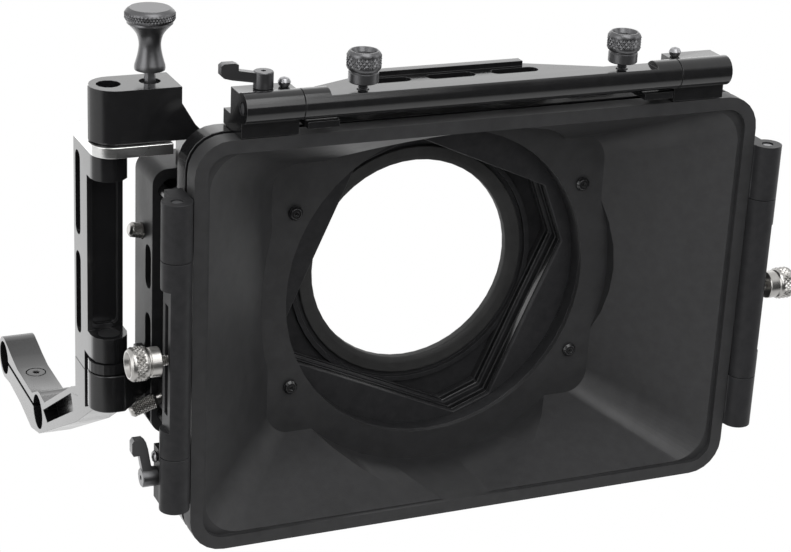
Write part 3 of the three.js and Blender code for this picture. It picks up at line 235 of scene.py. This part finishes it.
class MatteBoxSizes(PropertyGroup):
    """Sizes that the solids leave out"""

    ease: FloatProperty(
        name="Edge ease", description="Width of the small bevel on machined edges", unit="LENGTH",
        subtype="DISTANCE", default=0.0004, min=0.00005, max=0.002, precision=5)
    arm_ease: FloatProperty(
        name="Arm edge ease", description="Width of the rounding on the upper arm's edges", unit="LENGTH",
        subtype="DISTANCE", default=0.0009, min=0.0001, max=0.003, precision=5)
    hood_ease: FloatProperty(
        name="Hood edge ease", description="Width of the rounding on the moulded edges", unit="LENGTH",
        subtype="DISTANCE", default=0.0006, min=0.0001, max=0.003, precision=5)
    knurl_depth: FloatProperty(
        name="Knurl depth", description="Depth of the diamond knurl", unit="LENGTH", subtype="DISTANCE",
        default=0.00048, min=0.00005, max=0.001, precision=5)
    knurl_pitch: FloatProperty(
        name="Knurl pitch", description="Length of one diamond along the axis", unit="LENGTH",
        subtype="DISTANCE", default=0.0018, min=0.0004, max=0.003, precision=5)
    fine_pitch: FloatProperty(
        name="Fine knurl pitch", description="Length of one diamond on the lock screws", unit="LENGTH",
        subtype="DISTANCE", default=0.0015, min=0.0004, max=0.003, precision=5)
    knurl_sides: IntProperty(
        name="Knurl sides", description="Faces round a knurled head, an even number", default=46, min=12,
        max=200)
    thread_pitch: FloatProperty(
        name="Thread pitch", description="Distance between two turns of a thread", unit="LENGTH",
        subtype="DISTANCE", default=0.0007, min=0.0003, max=0.002, precision=5)
    turned_sides: IntProperty(
        name="Turned sides", description="Faces round a turned piece", default=80, min=24, max=256)
    floor_drop: FloatProperty(
        name="Floor drop", description="Height of the object above the floor", unit="LENGTH",
        subtype="DISTANCE", default=0.45, min=0.0, max=3)
    floor_radius: FloatProperty(
        name="Floor radius", description="Radius of the round floor", unit="LENGTH",
        subtype="DISTANCE", default=4.0, min=0.5, max=20)


def finishes():
    """Colours and gloss set in the sidebar"""
    return bpy.context.scene.matte_box_finishes


def sizes():
    """Sizes set in the sidebar"""
    return bpy.context.scene.matte_box_sizes


# Shader node groups: each puts out only values, masks and heights over the surface

def start_group(name, inputs, outputs):
    """A new node group with its named sockets, and its input and output nodes"""
    tree = bpy.data.node_groups.new(name, "ShaderNodeTree")
    for label, kind, value in inputs:
        socket = tree.interface.new_socket(name=label, in_out="INPUT", socket_type=kind)
        if value is not None:
            socket.default_value = value
    for label, kind in outputs:
        tree.interface.new_socket(name=label, in_out="OUTPUT", socket_type=kind)
    return tree, tree.nodes.new("NodeGroupInput"), tree.nodes.new("NodeGroupOutput")


def feed(tree, socket, value):
    """Links another socket into this one, or sets a plain value"""
    if isinstance(value, bpy.types.NodeSocket):
        tree.links.new(value, socket)
    else:
        socket.default_value = value


def add_node(tree, kind, settings=None, inputs=None):
    """A node with its settings and inputs"""
    node = tree.nodes.new(kind)
    for key, value in (settings or {}).items():
        setattr(node, key, value)
    for key, value in (inputs or {}).items():
        feed(tree, node.inputs[key], value)
    return node


def math_node(tree, operation, first, second, clamp=False):
    """The result of one operation on two values or sockets"""
    settings = {"operation": operation, "use_clamp": clamp}
    return add_node(tree, "ShaderNodeMath", settings, {0: first, 1: second}).outputs[0]


def range_node(tree, value, low, high, to_low, to_high):
    """A value moved from one range onto another"""
    node = add_node(tree, "ShaderNodeMapRange", {}, {
        "Value": value, "From Min": low, "From Max": high, "To Min": to_low, "To Max": to_high})
    return node.outputs["Result"]


def grain_group():
    """Fine grain: a small tone change and a height, at one scale"""
    found = bpy.data.node_groups.get("Fine grain")
    if found:
        return found
    tree, start, end = start_group(
        "Fine grain",
        [("Vector", "NodeSocketVector", None), ("Scale", "NodeSocketFloat", 900.0)],
        [("Tone", "NodeSocketFloat"), ("Height", "NodeSocketFloat")])
    coarse = math_node(tree, "MULTIPLY", start.outputs["Scale"], GRAIN_TONE_SHARE)
    tone = add_node(tree, "ShaderNodeTexNoise", {}, {
        "Vector": start.outputs["Vector"], "Scale": coarse, "Detail": 3.0, "Roughness": 0.6})
    bumps = add_node(tree, "ShaderNodeTexNoise", {}, {
        "Vector": start.outputs["Vector"], "Scale": start.outputs["Scale"], "Detail": 2.0})
    tree.links.new(tone.outputs[0], end.inputs["Tone"])
    tree.links.new(bumps.outputs[0], end.inputs["Height"])
    return tree


def smudge_group():
    """Handling marks: broad soft patches that change the gloss"""
    found = bpy.data.node_groups.get("Handling marks")
    if found:
        return found
    tree, start, end = start_group(
        "Handling marks",
        [("Vector", "NodeSocketVector", None), ("Scale", "NodeSocketFloat", 22.0)],
        [("Value", "NodeSocketFloat")])
    patches = add_node(tree, "ShaderNodeTexNoise", {}, {
        "Vector": start.outputs["Vector"], "Scale": start.outputs["Scale"], "Detail": 5.0,
        "Roughness": 0.55, "Distortion": 0.6})
    value = range_node(tree, patches.outputs[0], MARKS_LOW, MARKS_HIGH, 0.0, 1.0)
    tree.links.new(value, end.inputs["Value"])
    return tree


def wear_group():
    """Rubbed edges: the bevelled faces, broken up by a noise"""
    found = bpy.data.node_groups.get("Rubbed edges")
    if found:
        return found
    tree, start, end = start_group(
        "Rubbed edges",
        [("Vector", "NodeSocketVector", None), ("Edge", "NodeSocketFloat", 0.0),
         ("Amount", "NodeSocketFloat", 0.5)],
        [("Mask", "NodeSocketFloat")])
    noise = add_node(tree, "ShaderNodeTexNoise", {}, {
        "Vector": start.outputs["Vector"], "Scale": RUBBED_SCALE, "Detail": 4.0, "Roughness": 0.7})
    broken = range_node(tree, noise.outputs[0], RUBBED_LOW, RUBBED_HIGH, RUBBED_LEAST, 1.0)
    rubbed = math_node(tree, "MULTIPLY", broken, start.outputs["Edge"])
    mask = math_node(tree, "MULTIPLY", rubbed, start.outputs["Amount"], clamp=True)
    tree.links.new(mask, end.inputs["Mask"])
    return tree


def brushed_group():
    """Tool marks: noise drawn out along one direction of the vector"""
    found = bpy.data.node_groups.get("Tool marks")
    if found:
        return found
    tree, start, end = start_group(
        "Tool marks",
        [("Vector", "NodeSocketVector", None), ("Scale", "NodeSocketFloat", 60.0)],
        [("Tone", "NodeSocketFloat"), ("Height", "NodeSocketFloat")])
    drawn = add_node(tree, "ShaderNodeVectorMath", {"operation": "MULTIPLY"}, {
        0: start.outputs["Vector"], 1: TOOL_MARK_STRETCH})
    lines = add_node(tree, "ShaderNodeTexNoise", {}, {
        "Vector": drawn.outputs[0], "Scale": start.outputs["Scale"], "Detail": 3.0})
    tree.links.new(lines.outputs[0], end.inputs["Tone"])
    tree.links.new(lines.outputs[0], end.inputs["Height"])
    return tree


def group_node(tree, group, inputs):
    """A shared node group placed in a material with its own values"""
    return add_node(tree, "ShaderNodeGroup", {"node_tree": group}, inputs)


def mix_colour(tree, factor, first, second):
    """Two colours mixed, on the Mix node's colour sockets, which are numbered 6 and 7"""
    node = add_node(tree, "ShaderNodeMix", {"data_type": "RGBA"}, {0: factor, 6: first, 7: second})
    return node.outputs[2]


def lighter(colour, times):
    """A colour with its brightness multiplied, and full alpha"""
    return tuple(min(1.0, channel * times) for channel in colour) + (1.0,)


def make_finish(name, colour, roughness, metallic=0.0, specular=0.5, edge=None, wear=0.0,
                grain=900.0, bump=0.12, spread=0.08, tone=1.5, brushed=False):
    """One finish: grain and handling marks over a plain colour, with rubbed edges"""
    material = bpy.data.materials.get(name)
    if material:
        return material
    material = bpy.data.materials.new(name)
    material.use_nodes = True
    tree = material.node_tree
    shader = tree.nodes["Principled BSDF"]
    shader.inputs["Metallic"].default_value = metallic
    shader.inputs["Specular IOR Level"].default_value = specular
    where = tree.nodes.new("ShaderNodeTexCoord").outputs["Object"]
    texture = brushed_group() if brushed else grain_group()
    fine = group_node(tree, texture, {"Vector": where, "Scale": grain})
    marks = group_node(tree, smudge_group(), {"Vector": where})
    base = mix_colour(tree, fine.outputs["Tone"], lighter(colour, 1 / tone), lighter(colour, tone))
    if edge:
        flag = add_node(tree, "ShaderNodeAttribute", {"attribute_name": "edge"})
        rubbed = group_node(tree, wear_group(), {
            "Vector": where, "Edge": flag.outputs["Fac"], "Amount": wear})
        base = mix_colour(tree, rubbed.outputs["Mask"], base, tuple(edge) + (1.0,))
    tree.links.new(base, shader.inputs["Base Color"])
    gloss = range_node(tree, marks.outputs["Value"], 0.0, 1.0, roughness - spread, roughness + spread)
    tree.links.new(gloss, shader.inputs["Roughness"])
    relief = add_node(tree, "ShaderNodeBump", {}, {
        "Strength": bump, "Distance": RELIEF, "Height": fine.outputs["Height"]})
    tree.links.new(relief.outputs["Normal"], shader.inputs["Normal"])
    return material


def finish_for(slot):
    """The finish of a slot, in the colours and gloss set in the sidebar"""
    look = finishes()
    kind = slot if slot in FINISH_LOOKS else "steel"
    # The satin colour is the anodised colour painted lighter by the satin lift, painted light
    colour = {
        "anodised": look.anodised, "satin": lighter(look.anodised, SATIN_PAINTED_LIGHT_LIFT)[:3],
        "plastic": look.moulded, "gunmetal": look.gunmetal, "stainless": look.stainless,
        "bright": look.bright, "rubber": look.rubber, "steel": look.steel}[kind]
    settings = dict(FINISH_LOOKS[kind])
    if kind == "anodised":
        settings["roughness"] = look.anodised_roughness
    if kind == "plastic":
        settings["roughness"] = look.moulded_roughness
    if kind in ("anodised", "satin"):
        settings["edge"] = look.anodised_edge
    elif kind in EDGE_LIFTS:
        settings["edge"] = lighter(colour, EDGE_LIFTS[kind])[:3]
    return make_finish(colour=colour, **settings)


# Pieces

def keep_piece(name, bm, nodes):
    """Makes the finished mesh an object that rides with its nodes' body and stands for them"""
    mesh = bpy.data.meshes.new(name)
    bm.to_mesh(mesh)
    bm.free()
    mesh.shade_smooth()
    mesh.set_sharp_from_angle(angle=SHARP)
    piece = bpy.data.objects.new(name, mesh)
    bpy.context.scene.collection.objects.link(piece)
    even = piece.modifiers.new("even shading", "WEIGHTED_NORMAL")
    even.keep_sharp = True
    slot = SLOT_OF[nodes[0]]
    # Pieces in the satin list take the anodised colour painted lighter, painted light
    mesh.materials.append(finish_for("satin" if nodes[0] in SATIN_PAINTED_LIGHTER_NODES else slot))
    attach(piece, BODY_OF[nodes[0]])
    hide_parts(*nodes)


def merged_copy(node):
    """A copy of a solid with its loose triangles merged and its flat faces made whole"""
    bm = bmesh.new()
    bm.from_mesh(frame["nodes"][node].data)
    bmesh.ops.remove_doubles(bm, verts=bm.verts, dist=MERGE)
    bmesh.ops.dissolve_limit(bm, angle_limit=FLAT, verts=bm.verts, edges=bm.edges)
    return bm


def ease_edges(bm, width, segments=BEVEL_STEPS):
    """A small bevel on each sharp edge, marked in the face attribute named edge"""
    sharp = [edge for edge in bm.edges if edge.is_manifold and edge.calc_face_angle() > SHARP]
    layer = bm.faces.layers.float.new("edge")
    result = bmesh.ops.bevel(
        bm, geom=sharp, offset=width, offset_type="OFFSET", affect="EDGES", segments=segments,
        profile=0.5, material=-1, clamp_overlap=True, loop_slide=True)
    for face in result["faces"]:
        face[layer] = 1.0


def ease_node(node, width=None, segments=BEVEL_STEPS):
    """Replaces a solid by its own shape with eased edges"""
    bm = merged_copy(node)
    ease_edges(bm, width or sizes().ease, segments)
    keep_piece(f"{node}_eased", bm, [node])


def spin_profile(bm, profile, sides):
    """Turns (radius, height) points round the Z axis into a closed skin"""
    corners = [bm.verts.new((radius, 0, height)) for radius, height in profile]
    rim = [bm.edges.new(pair) for pair in zip(corners, corners[1:])]
    bmesh.ops.spin(
        bm, geom=corners + rim, cent=(0, 0, 0), axis=(0, 0, 1), dvec=(0, 0, 0), angle=math.tau,
        steps=sides, use_merge=True, use_normal_flip=False, use_duplicate=False)
    bmesh.ops.remove_doubles(bm, verts=bm.verts, dist=SEAM)
    bmesh.ops.recalc_face_normals(bm, faces=bm.faces)


def knurl_rows(low, high, pitch):
    """Heights of the rows of corners between two heights, half a diamond apart"""
    rows = max(2, 2 * round((high - low) / pitch))
    return [low + (high - low) * i / rows for i in range(rows + 1)]


def raise_diamonds(bm, radius, low, high, rows, sides, depth):
    """Pushes every other corner of a turned band outward, so that each becomes a diamond's tip"""
    spacing = (high - low) / (rows - 1)
    state = {}
    for corner in bm.verts:
        reach = math.hypot(corner.co.x, corner.co.y)
        if abs(reach - radius) > MERGE or not low - MERGE < corner.co.z < high + MERGE:
            continue
        column = round(math.atan2(corner.co.y, corner.co.x) / math.tau * sides) % sides
        row = round((corner.co.z - low) / spacing)
        raised = (column + row) % 2 == 0 and 0 < row < rows - 1
        state[corner] = raised
    for face in list(bm.faces):
        if len(face.verts) == 4 and all(corner in state for corner in face.verts):
            lower = [corner for corner in face.verts if not state[corner]]
            opposite = len(lower) == 2 and lower[0] not in (
                edge.other_vert(lower[1]) for edge in lower[1].link_edges)
            if opposite:
                bmesh.utils.face_split(face, lower[0], lower[1])
    for corner, raised in state.items():
        if raised:
            grown = (radius + depth) / radius
            corner.co.x *= grown
            corner.co.y *= grown


def placed(bm, origin, axis):
    """Turns and moves a piece made on the Z axis onto its real axis"""
    turn = Vector(axis).to_track_quat("Z", "Y").to_matrix().to_4x4()
    bmesh.ops.transform(bm, matrix=Matrix.Translation(origin) @ turn, verts=bm.verts)


def thread_points(radius, low, high, pitch):
    """Outline of a thread's grooves between two heights"""
    turns = max(1, round((high - low) / pitch))
    root = radius * THREAD_ROOT_SHARE
    points = []
    for i in range(turns):
        foot = low + (high - low) * i / turns
        points += [(root, foot), (radius, foot + (high - low) / turns / 2)]
    return points + [(root, high)]


def axis_box(node, axis):
    """Centre of a node's low end on its axis, its length and its radius"""
    low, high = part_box(node)
    direction = Vector(axis)
    centre = (low + high) / 2
    length = abs((high - low).dot(direction))
    across = [high[i] - low[i] for i in range(3) if abs(direction[i]) < 0.5]
    return centre - direction * length / 2, length, max(across) / 2


def make_thumb_screw(node, axis):
    """Thumb screw: a bit of thread, a smooth collar and a knurled head with a dished end"""
    origin, length, radius = axis_box(node, axis)
    shape = sizes()
    head_low, head_high = length * THUMB_HEAD_LOW_SHARE, length * THUMB_HEAD_HIGH_SHARE
    collar_low = length * THUMB_COLLAR_LOW_SHARE
    collar = radius * THUMB_COLLAR_SHARE
    thread = radius * THUMB_THREAD_SHARE
    edge = radius * THUMB_EDGE_SHARE
    collar_high = head_low - edge * THUMB_NECK_EDGES
    band = knurl_rows(head_low + edge, head_high - edge, shape.knurl_pitch)
    inner = radius - shape.knurl_depth
    profile = [(0, 0)] + thread_points(thread, 0, collar_low, shape.thread_pitch)
    profile += [(collar - edge, collar_low), (collar, collar_low + edge), (collar, collar_high - edge),
                (collar - edge, collar_high), (collar - edge, head_low - edge), (inner - edge, head_low)]
    profile += [(inner, height) for height in band]
    rim, lip, slope, floor = (radius * share for share in THUMB_DISH_SHARES)
    dish = length * THUMB_DISH_SHARE
    profile += [(inner - edge, head_high), (inner - edge * THUMB_CHAMFER_EDGES, length), (rim, length),
                (lip, length - edge * THUMB_LIP_EDGES), (slope, length - dish * THUMB_SLOPE_SHARE),
                (floor, length - dish), (0, length - dish)]
    sides = shape.knurl_sides
    bm = bmesh.new()
    spin_profile(bm, profile, sides)
    raise_diamonds(bm, inner, band[0], band[-1], len(band), sides, shape.knurl_depth)
    placed(bm, origin, axis)
    keep_piece(f"{node}_knurled", bm, [node])


def make_lock_screw(node):
    """Lock screw: a long thin screw whose whole handle is diamond knurled"""
    joint = next(j for j in frame["joints"] if j["child"] == BODY_OF[node])
    axis = Vector(joint["axis"]).normalized()
    start = Vector(joint["pos_m"])
    offsets = [Vector(corner.co) - start for corner in frame["nodes"][node].data.vertices]
    reaches = [offset.dot(axis) for offset in offsets]
    radii = [(offset - axis * reach).length for offset, reach in zip(offsets, reaches)]
    low, high = min(reaches), max(reaches)
    handle = max(radii)
    shoulder = min(reach for reach, radius in zip(reaches, radii) if radius > handle - MERGE)
    shape = sizes()
    edge = handle * LOCK_EDGE_SHARE
    inner = handle - shape.knurl_depth
    shank = handle * LOCK_SHANK_SHARE
    band = knurl_rows(shoulder, high - edge, shape.fine_pitch)
    profile = [(0, low), (shank / 2, low), (shank, low + shank / 2), (shank, shoulder - edge),
               (inner - edge, shoulder - edge)]
    profile += [(inner, height) for height in band]
    profile += [(inner - edge, high), (0, high)]
    sides = 2 * round(shape.turned_sides * LOCK_SIDES_SHARE / 2)
    bm = bmesh.new()
    spin_profile(bm, profile, sides)
    raise_diamonds(bm, inner, band[0], band[-1], len(band), sides, shape.knurl_depth)
    placed(bm, start, axis)
    keep_piece(f"{node}_knurled", bm, [node])


def smooth_curve(points, steps):
    """Points along a smooth curve through the given ones, ends kept"""
    ends = [points[0]] + list(points) + [points[-1]]
    curve = []
    for a, b, c, d in zip(ends, ends[1:], ends[2:], ends[3:]):
        for i in range(steps):
            t = i / steps
            curve.append(tuple(
                0.5 * (2 * b[k] + (c[k] - a[k]) * t + (2 * a[k] - 5 * b[k] + 4 * c[k] - d[k]) * t * t
                       + (3 * b[k] - a[k] - 3 * c[k] + d[k]) * t ** 3) for k in range(2)))
    return curve + [tuple(points[-1])]


def outline(shares, radius, length):
    """Outline points from shares of a radius and of a length"""
    return [(across * radius, along * length) for across, along in shares]


def make_pull_knob(node):
    """Pull knob: flared foot, polished waisted neck and a flat head with a knurled rim"""
    origin, length, radius = axis_box(node, (0, 0, 1))
    shape = sizes()
    inner = radius - shape.knurl_depth
    edge = radius * PULL_EDGE_SHARE
    neck = smooth_curve(outline(PULL_NECK_SHARES, radius, length), PULL_CURVE_STEPS)
    band = knurl_rows(length * PULL_BAND_LOW_SHARE, length * PULL_BAND_HIGH_SHARE, shape.fine_pitch)
    profile = outline(PULL_FOOT_SHARES, radius, length) + neck
    profile += [(inner - edge, length * PULL_HEAD_LOW_SHARE)]
    profile += [(inner, height) for height in band]
    profile += [(inner - edge, length * PULL_HEAD_HIGH_SHARE),
                (inner - edge * 2, length * PULL_CHAMFER_SHARE)]
    profile += outline(PULL_TOP_SHARES, radius, length)
    sides = shape.turned_sides + PULL_EXTRA_SIDES
    bm = bmesh.new()
    spin_profile(bm, profile, sides)
    raise_diamonds(bm, inner, band[0], band[-1], len(band), sides, shape.knurl_depth)
    placed(bm, origin, (0, 0, 1))
    keep_piece(f"{node}_turned", bm, [node])


def show_node(node):
    """A solid whose shape is right keeps its mesh and takes the finish of its slot"""
    body = frame["nodes"][node]
    body.data.materials.clear()
    body.data.materials.append(finish_for(SLOT_OF[node]))


class MATTEBOX_OT_hood(Operator):
    """Moulded hood with softened edges"""

    bl_idname = "mattebox.hood"
    bl_label = "Hood"

    def execute(self, context):
        ease_node("hood", sizes().hood_ease)
        for i in range(4):
            ease_node(f"hood_screw_{i + 1}", sizes().ease * SCREW_EASE_SHARE)
        return {"FINISHED"}


class MATTEBOX_OT_frames(Operator):
    """Metal frame behind the hood, front plate, bridge, posts and rear frame"""

    bl_idname = "mattebox.frames"
    bl_label = "Frames and plates"

    def execute(self, context):
        for node in ("hood_frame", "front_plate", "rear_frame", "top_bridge"):
            ease_node(node)
        for i in range(4):
            show_node(f"corner_post_{i + 1}")
        return {"FINISHED"}


class MATTEBOX_OT_stages(Operator):
    """Filter stage rings and their trays"""

    bl_idname = "mattebox.stages"
    bl_label = "Filter stages"

    def execute(self, context):
        for word in ("front", "rear"):
            ease_node(f"{word}_stage_ring")
            ease_node(f"{word}_filter_tray")
        return {"FINISHED"}


class MATTEBOX_OT_lens_ring(Operator):
    """Soft ring that closes round the lens"""

    bl_idname = "mattebox.lens_ring"
    bl_label = "Lens ring"

    def execute(self, context):
        ease_node("donut_ring", sizes().hood_ease)
        return {"FINISHED"}


class MATTEBOX_OT_support(Operator):
    """Rod clamp, column, index plate and the pins of the hinge line"""

    bl_idname = "mattebox.support"
    bl_label = "Clamp and column"

    def execute(self, context):
        for node in ("rod_clamp", "hinge_column", "index_plate"):
            ease_node(node, sizes().ease * SUPPORT_EASE_SHARE)
        ease_node("clamp_screw")
        for node in ("lower_hinge_pin", "upper_hinge_pin", "hinge_washer"):
            show_node(node)
        return {"FINISHED"}


class MATTEBOX_OT_arms(Operator):
    """Upper and lower arms of the box"""

    bl_idname = "mattebox.arms"
    bl_label = "Arms"

    def execute(self, context):
        ease_node("upper_arm", sizes().arm_ease, ARM_BEVEL_STEPS)
        ease_node("lower_arm", sizes().ease * SUPPORT_EASE_SHARE)
        return {"FINISHED"}


class MATTEBOX_OT_plunger(Operator):
    """Index plunger with its pull knob, bush and spring"""

    bl_idname = "mattebox.plunger"
    bl_label = "Plunger"

    def execute(self, context):
        make_pull_knob("plunger_knob")
        for node in ("index_plunger", "plunger_bush", "plunger_spring"):
            show_node(node)
        return {"FINISHED"}


class MATTEBOX_OT_flag_holders(Operator):
    """Barrels, end blocks, knuckles, their pins and the slotted plate"""

    bl_idname = "mattebox.flag_holders"
    bl_label = "Flag holders"

    def execute(self, context):
        for node in ("top_barrel", "top_flag_plate", "top_left_end_block", "top_right_end_block"):
            ease_node(node)
        for word in ("left", "right"):
            ease_node(f"{word}_barrel")
            show_node(f"top_{word}_pin")
            for level in ("upper", "lower"):
                ease_node(f"{word}_{level}_knuckle")
                show_node(f"{word}_{level}_pin")
        return {"FINISHED"}


class MATTEBOX_OT_thumb_screws(Operator):
    """Four knurled thumb screws"""

    bl_idname = "mattebox.thumb_screws"
    bl_label = "Thumb screws"

    def execute(self, context):
        for word, side in (("left", -1), ("right", 1)):
            make_thumb_screw(f"top_{word}_thumb_screw", (0, 0, 1))
            make_thumb_screw(f"{word}_thumb_screw", (side, 0, 0))
        return {"FINISHED"}


class MATTEBOX_OT_levers(Operator):
    """Clamping levers and the small stop screws beside them"""

    bl_idname = "mattebox.levers"
    bl_label = "Levers and stops"

    def execute(self, context):
        for node in ("top_lever", "left_lever"):
            ease_node(node)
        for node in ("top_left_stop_screw", "top_right_stop_screw", "left_stop_screw", "right_stop_screw"):
            ease_node(node, sizes().ease * SCREW_EASE_SHARE)
        return {"FINISHED"}


class MATTEBOX_OT_lock_screws(Operator):
    """Two knurled screws that lock the filter stages"""

    bl_idname = "mattebox.lock_screws"
    bl_label = "Lock screws"

    def execute(self, context):
        for word in ("front", "rear"):
            make_lock_screw(f"{word}_lock_screw")
        return {"FINISHED"}


def soft_lamp(name, place, target, width, height, radiance):
    """A rectangular soft box of a given brightness, facing a point"""
    lamp = bpy.data.lights.new(name, "AREA")
    lamp.shape = "RECTANGLE"
    lamp.size = width
    lamp.size_y = height
    lamp.energy = radiance * math.pi * width * height
    holder = bpy.data.objects.new(name, lamp)
    bpy.context.scene.collection.objects.link(holder)
    holder.location = place
    holder.rotation_euler = (target - place).to_track_quat("-Z", "Y").to_euler()
    holder.visible_camera = False


def surroundings(tree, output, dim_at, white_at):
    """Whether the camera or a reflection is looking, and how bright it finds the room there

    The camera sees all of it at full brightness. In reflections the room behind the camera is dim.
    """
    path = tree.nodes.new("ShaderNodeLightPath")
    shiny = math_node(tree, "MAXIMUM", path.outputs["Is Glossy Ray"], path.outputs["Is Transmission Ray"])
    seen = math_node(tree, "MAXIMUM", path.outputs["Is Camera Ray"], shiny)
    place = tree.nodes.new("ShaderNodeTexCoord").outputs[output]
    depth = add_node(tree, "ShaderNodeSeparateXYZ", {}, {0: place}).outputs["Y"]
    shade = range_node(tree, depth, dim_at, white_at, DIM_GLOW, 1.0)
    return seen, math_node(tree, "MAXIMUM", path.outputs["Is Camera Ray"], shade)


class MATTEBOX_OT_stage(Operator):
    """Pale floor, white surroundings, soft lamps and the camera"""

    bl_idname = "mattebox.stage"
    bl_label = "Stage"

    def execute(self, context):
        scene = context.scene
        scene.view_settings.view_transform = "Standard"
        low, high = SOLID_BOX
        centre = (low + high) / 2

        world = bpy.data.worlds.new("white room")
        world.use_nodes = True
        scene.world = world
        tree = world.node_tree
        room = tree.nodes["Background"]
        room.inputs["Color"].default_value = WHITE
        seen, level = surroundings(tree, "Generated", ROOM_DIM_AT, ROOM_WHITE_AT)
        strength = range_node(tree, seen, 0.0, 1.0, ROOM_GLOW, level)
        tree.links.new(strength, room.inputs["Strength"])

        bm = bmesh.new()
        bmesh.ops.create_circle(bm, cap_ends=True, segments=FLOOR_SIDES, radius=sizes().floor_radius)
        mesh = bpy.data.meshes.new("floor")
        bm.to_mesh(mesh)
        bm.free()
        mesh.transform(Matrix.Translation((centre.x, centre.y, low.z - sizes().floor_drop)))
        floor = bpy.data.objects.new("floor", mesh)
        scene.collection.objects.link(floor)
        pale = bpy.data.materials.new("pale floor")
        pale.use_nodes = True
        tree = pale.node_tree
        matte = tree.nodes["Principled BSDF"]
        matte.inputs["Base Color"].default_value = FLOOR_COLOUR
        matte.inputs["Roughness"].default_value = FLOOR_ROUGHNESS
        matte.inputs["Specular IOR Level"].default_value = FLOOR_SPECULAR
        seen, level = surroundings(
            tree, "Object", centre.y - FLOOR_DIM_FROM, centre.y - FLOOR_WHITE_FROM)
        glow = add_node(tree, "ShaderNodeEmission", {}, {"Color": WHITE, "Strength": level})
        blend = add_node(tree, "ShaderNodeMixShader", {}, {0: seen, 1: matte.outputs[0], 2: glow.outputs[0]})
        tree.links.new(blend.outputs[0], tree.nodes["Material Output"].inputs["Surface"])
        floor.data.materials.append(pale)

        for name, direction, distance, side, radiance in BACK_SOFT_BOXES:
            soft_lamp(name, centre + Vector(direction) * distance, centre, side, side, radiance)
        for name, place, width, height, radiance in SOFT_BOXES:
            soft_lamp(name, Vector(place), centre, width, height, radiance)

        lens = bpy.data.cameras.new("camera")
        lens.sensor_fit = "HORIZONTAL"
        lens.sensor_width = CAMERA_SENSOR
        lens.lens = CAMERA_LENS
        camera = bpy.data.objects.new("camera", lens)
        scene.collection.objects.link(camera)
        right, up = Vector(CAMERA_RIGHT), Vector(CAMERA_UP)
        turn = Matrix((right, up, right.cross(up))).transposed().to_4x4()
        camera.matrix_world = Matrix.Translation(CAMERA_PLACE) @ turn
        scene.camera = camera
        return {"FINISHED"}


OPERATORS = (
    MATTEBOX_OT_hood,
    MATTEBOX_OT_frames,
    MATTEBOX_OT_stages,
    MATTEBOX_OT_lens_ring,
    MATTEBOX_OT_support,
    MATTEBOX_OT_arms,
    MATTEBOX_OT_plunger,
    MATTEBOX_OT_flag_holders,
    MATTEBOX_OT_thumb_screws,
    MATTEBOX_OT_levers,
    MATTEBOX_OT_lock_screws,
    MATTEBOX_OT_stage,
)


class MATTEBOX_PT_sidebar(Panel):
    """Lists the pieces of the matte box and its sizes and finishes"""

    bl_idname = "MATTEBOX_PT_sidebar"
    bl_label = "Matte box"
    bl_space_type = "VIEW_3D"
    bl_region_type = "UI"
    bl_category = "Matte box"

    def draw(self, context):
        layout = self.layout
        for operator in OPERATORS:
            layout.operator(operator.bl_idname)
        for group in (context.scene.matte_box_sizes, context.scene.matte_box_finishes):
            for name in group.bl_rna.properties.keys():
                if name not in ("rna_type", "name"):
                    layout.prop(group, name)


CLASSES = (MatteBoxFinishes, MatteBoxSizes) + OPERATORS + (MATTEBOX_PT_sidebar,)


def register():
    for item in CLASSES:
        bpy.utils.register_class(item)
    bpy.types.Scene.matte_box_finishes = PointerProperty(type=MatteBoxFinishes)
    bpy.types.Scene.matte_box_sizes = PointerProperty(type=MatteBoxSizes)


def unregister():
    del bpy.types.Scene.matte_box_sizes
    del bpy.types.Scene.matte_box_finishes
    for item in reversed(CLASSES):
        bpy.utils.unregister_class(item)


def main():
    register()
    bpy.ops.mattebox.hood()
    bpy.ops.mattebox.frames()
    bpy.ops.mattebox.stages()
    bpy.ops.mattebox.lens_ring()
    bpy.ops.mattebox.support()
    bpy.ops.mattebox.arms()
    bpy.ops.mattebox.plunger()
    bpy.ops.mattebox.flag_holders()
    bpy.ops.mattebox.thumb_screws()
    bpy.ops.mattebox.levers()
    bpy.ops.mattebox.lock_screws()
    bpy.ops.mattebox.stage()


if __name__ == "__main__":
    main()
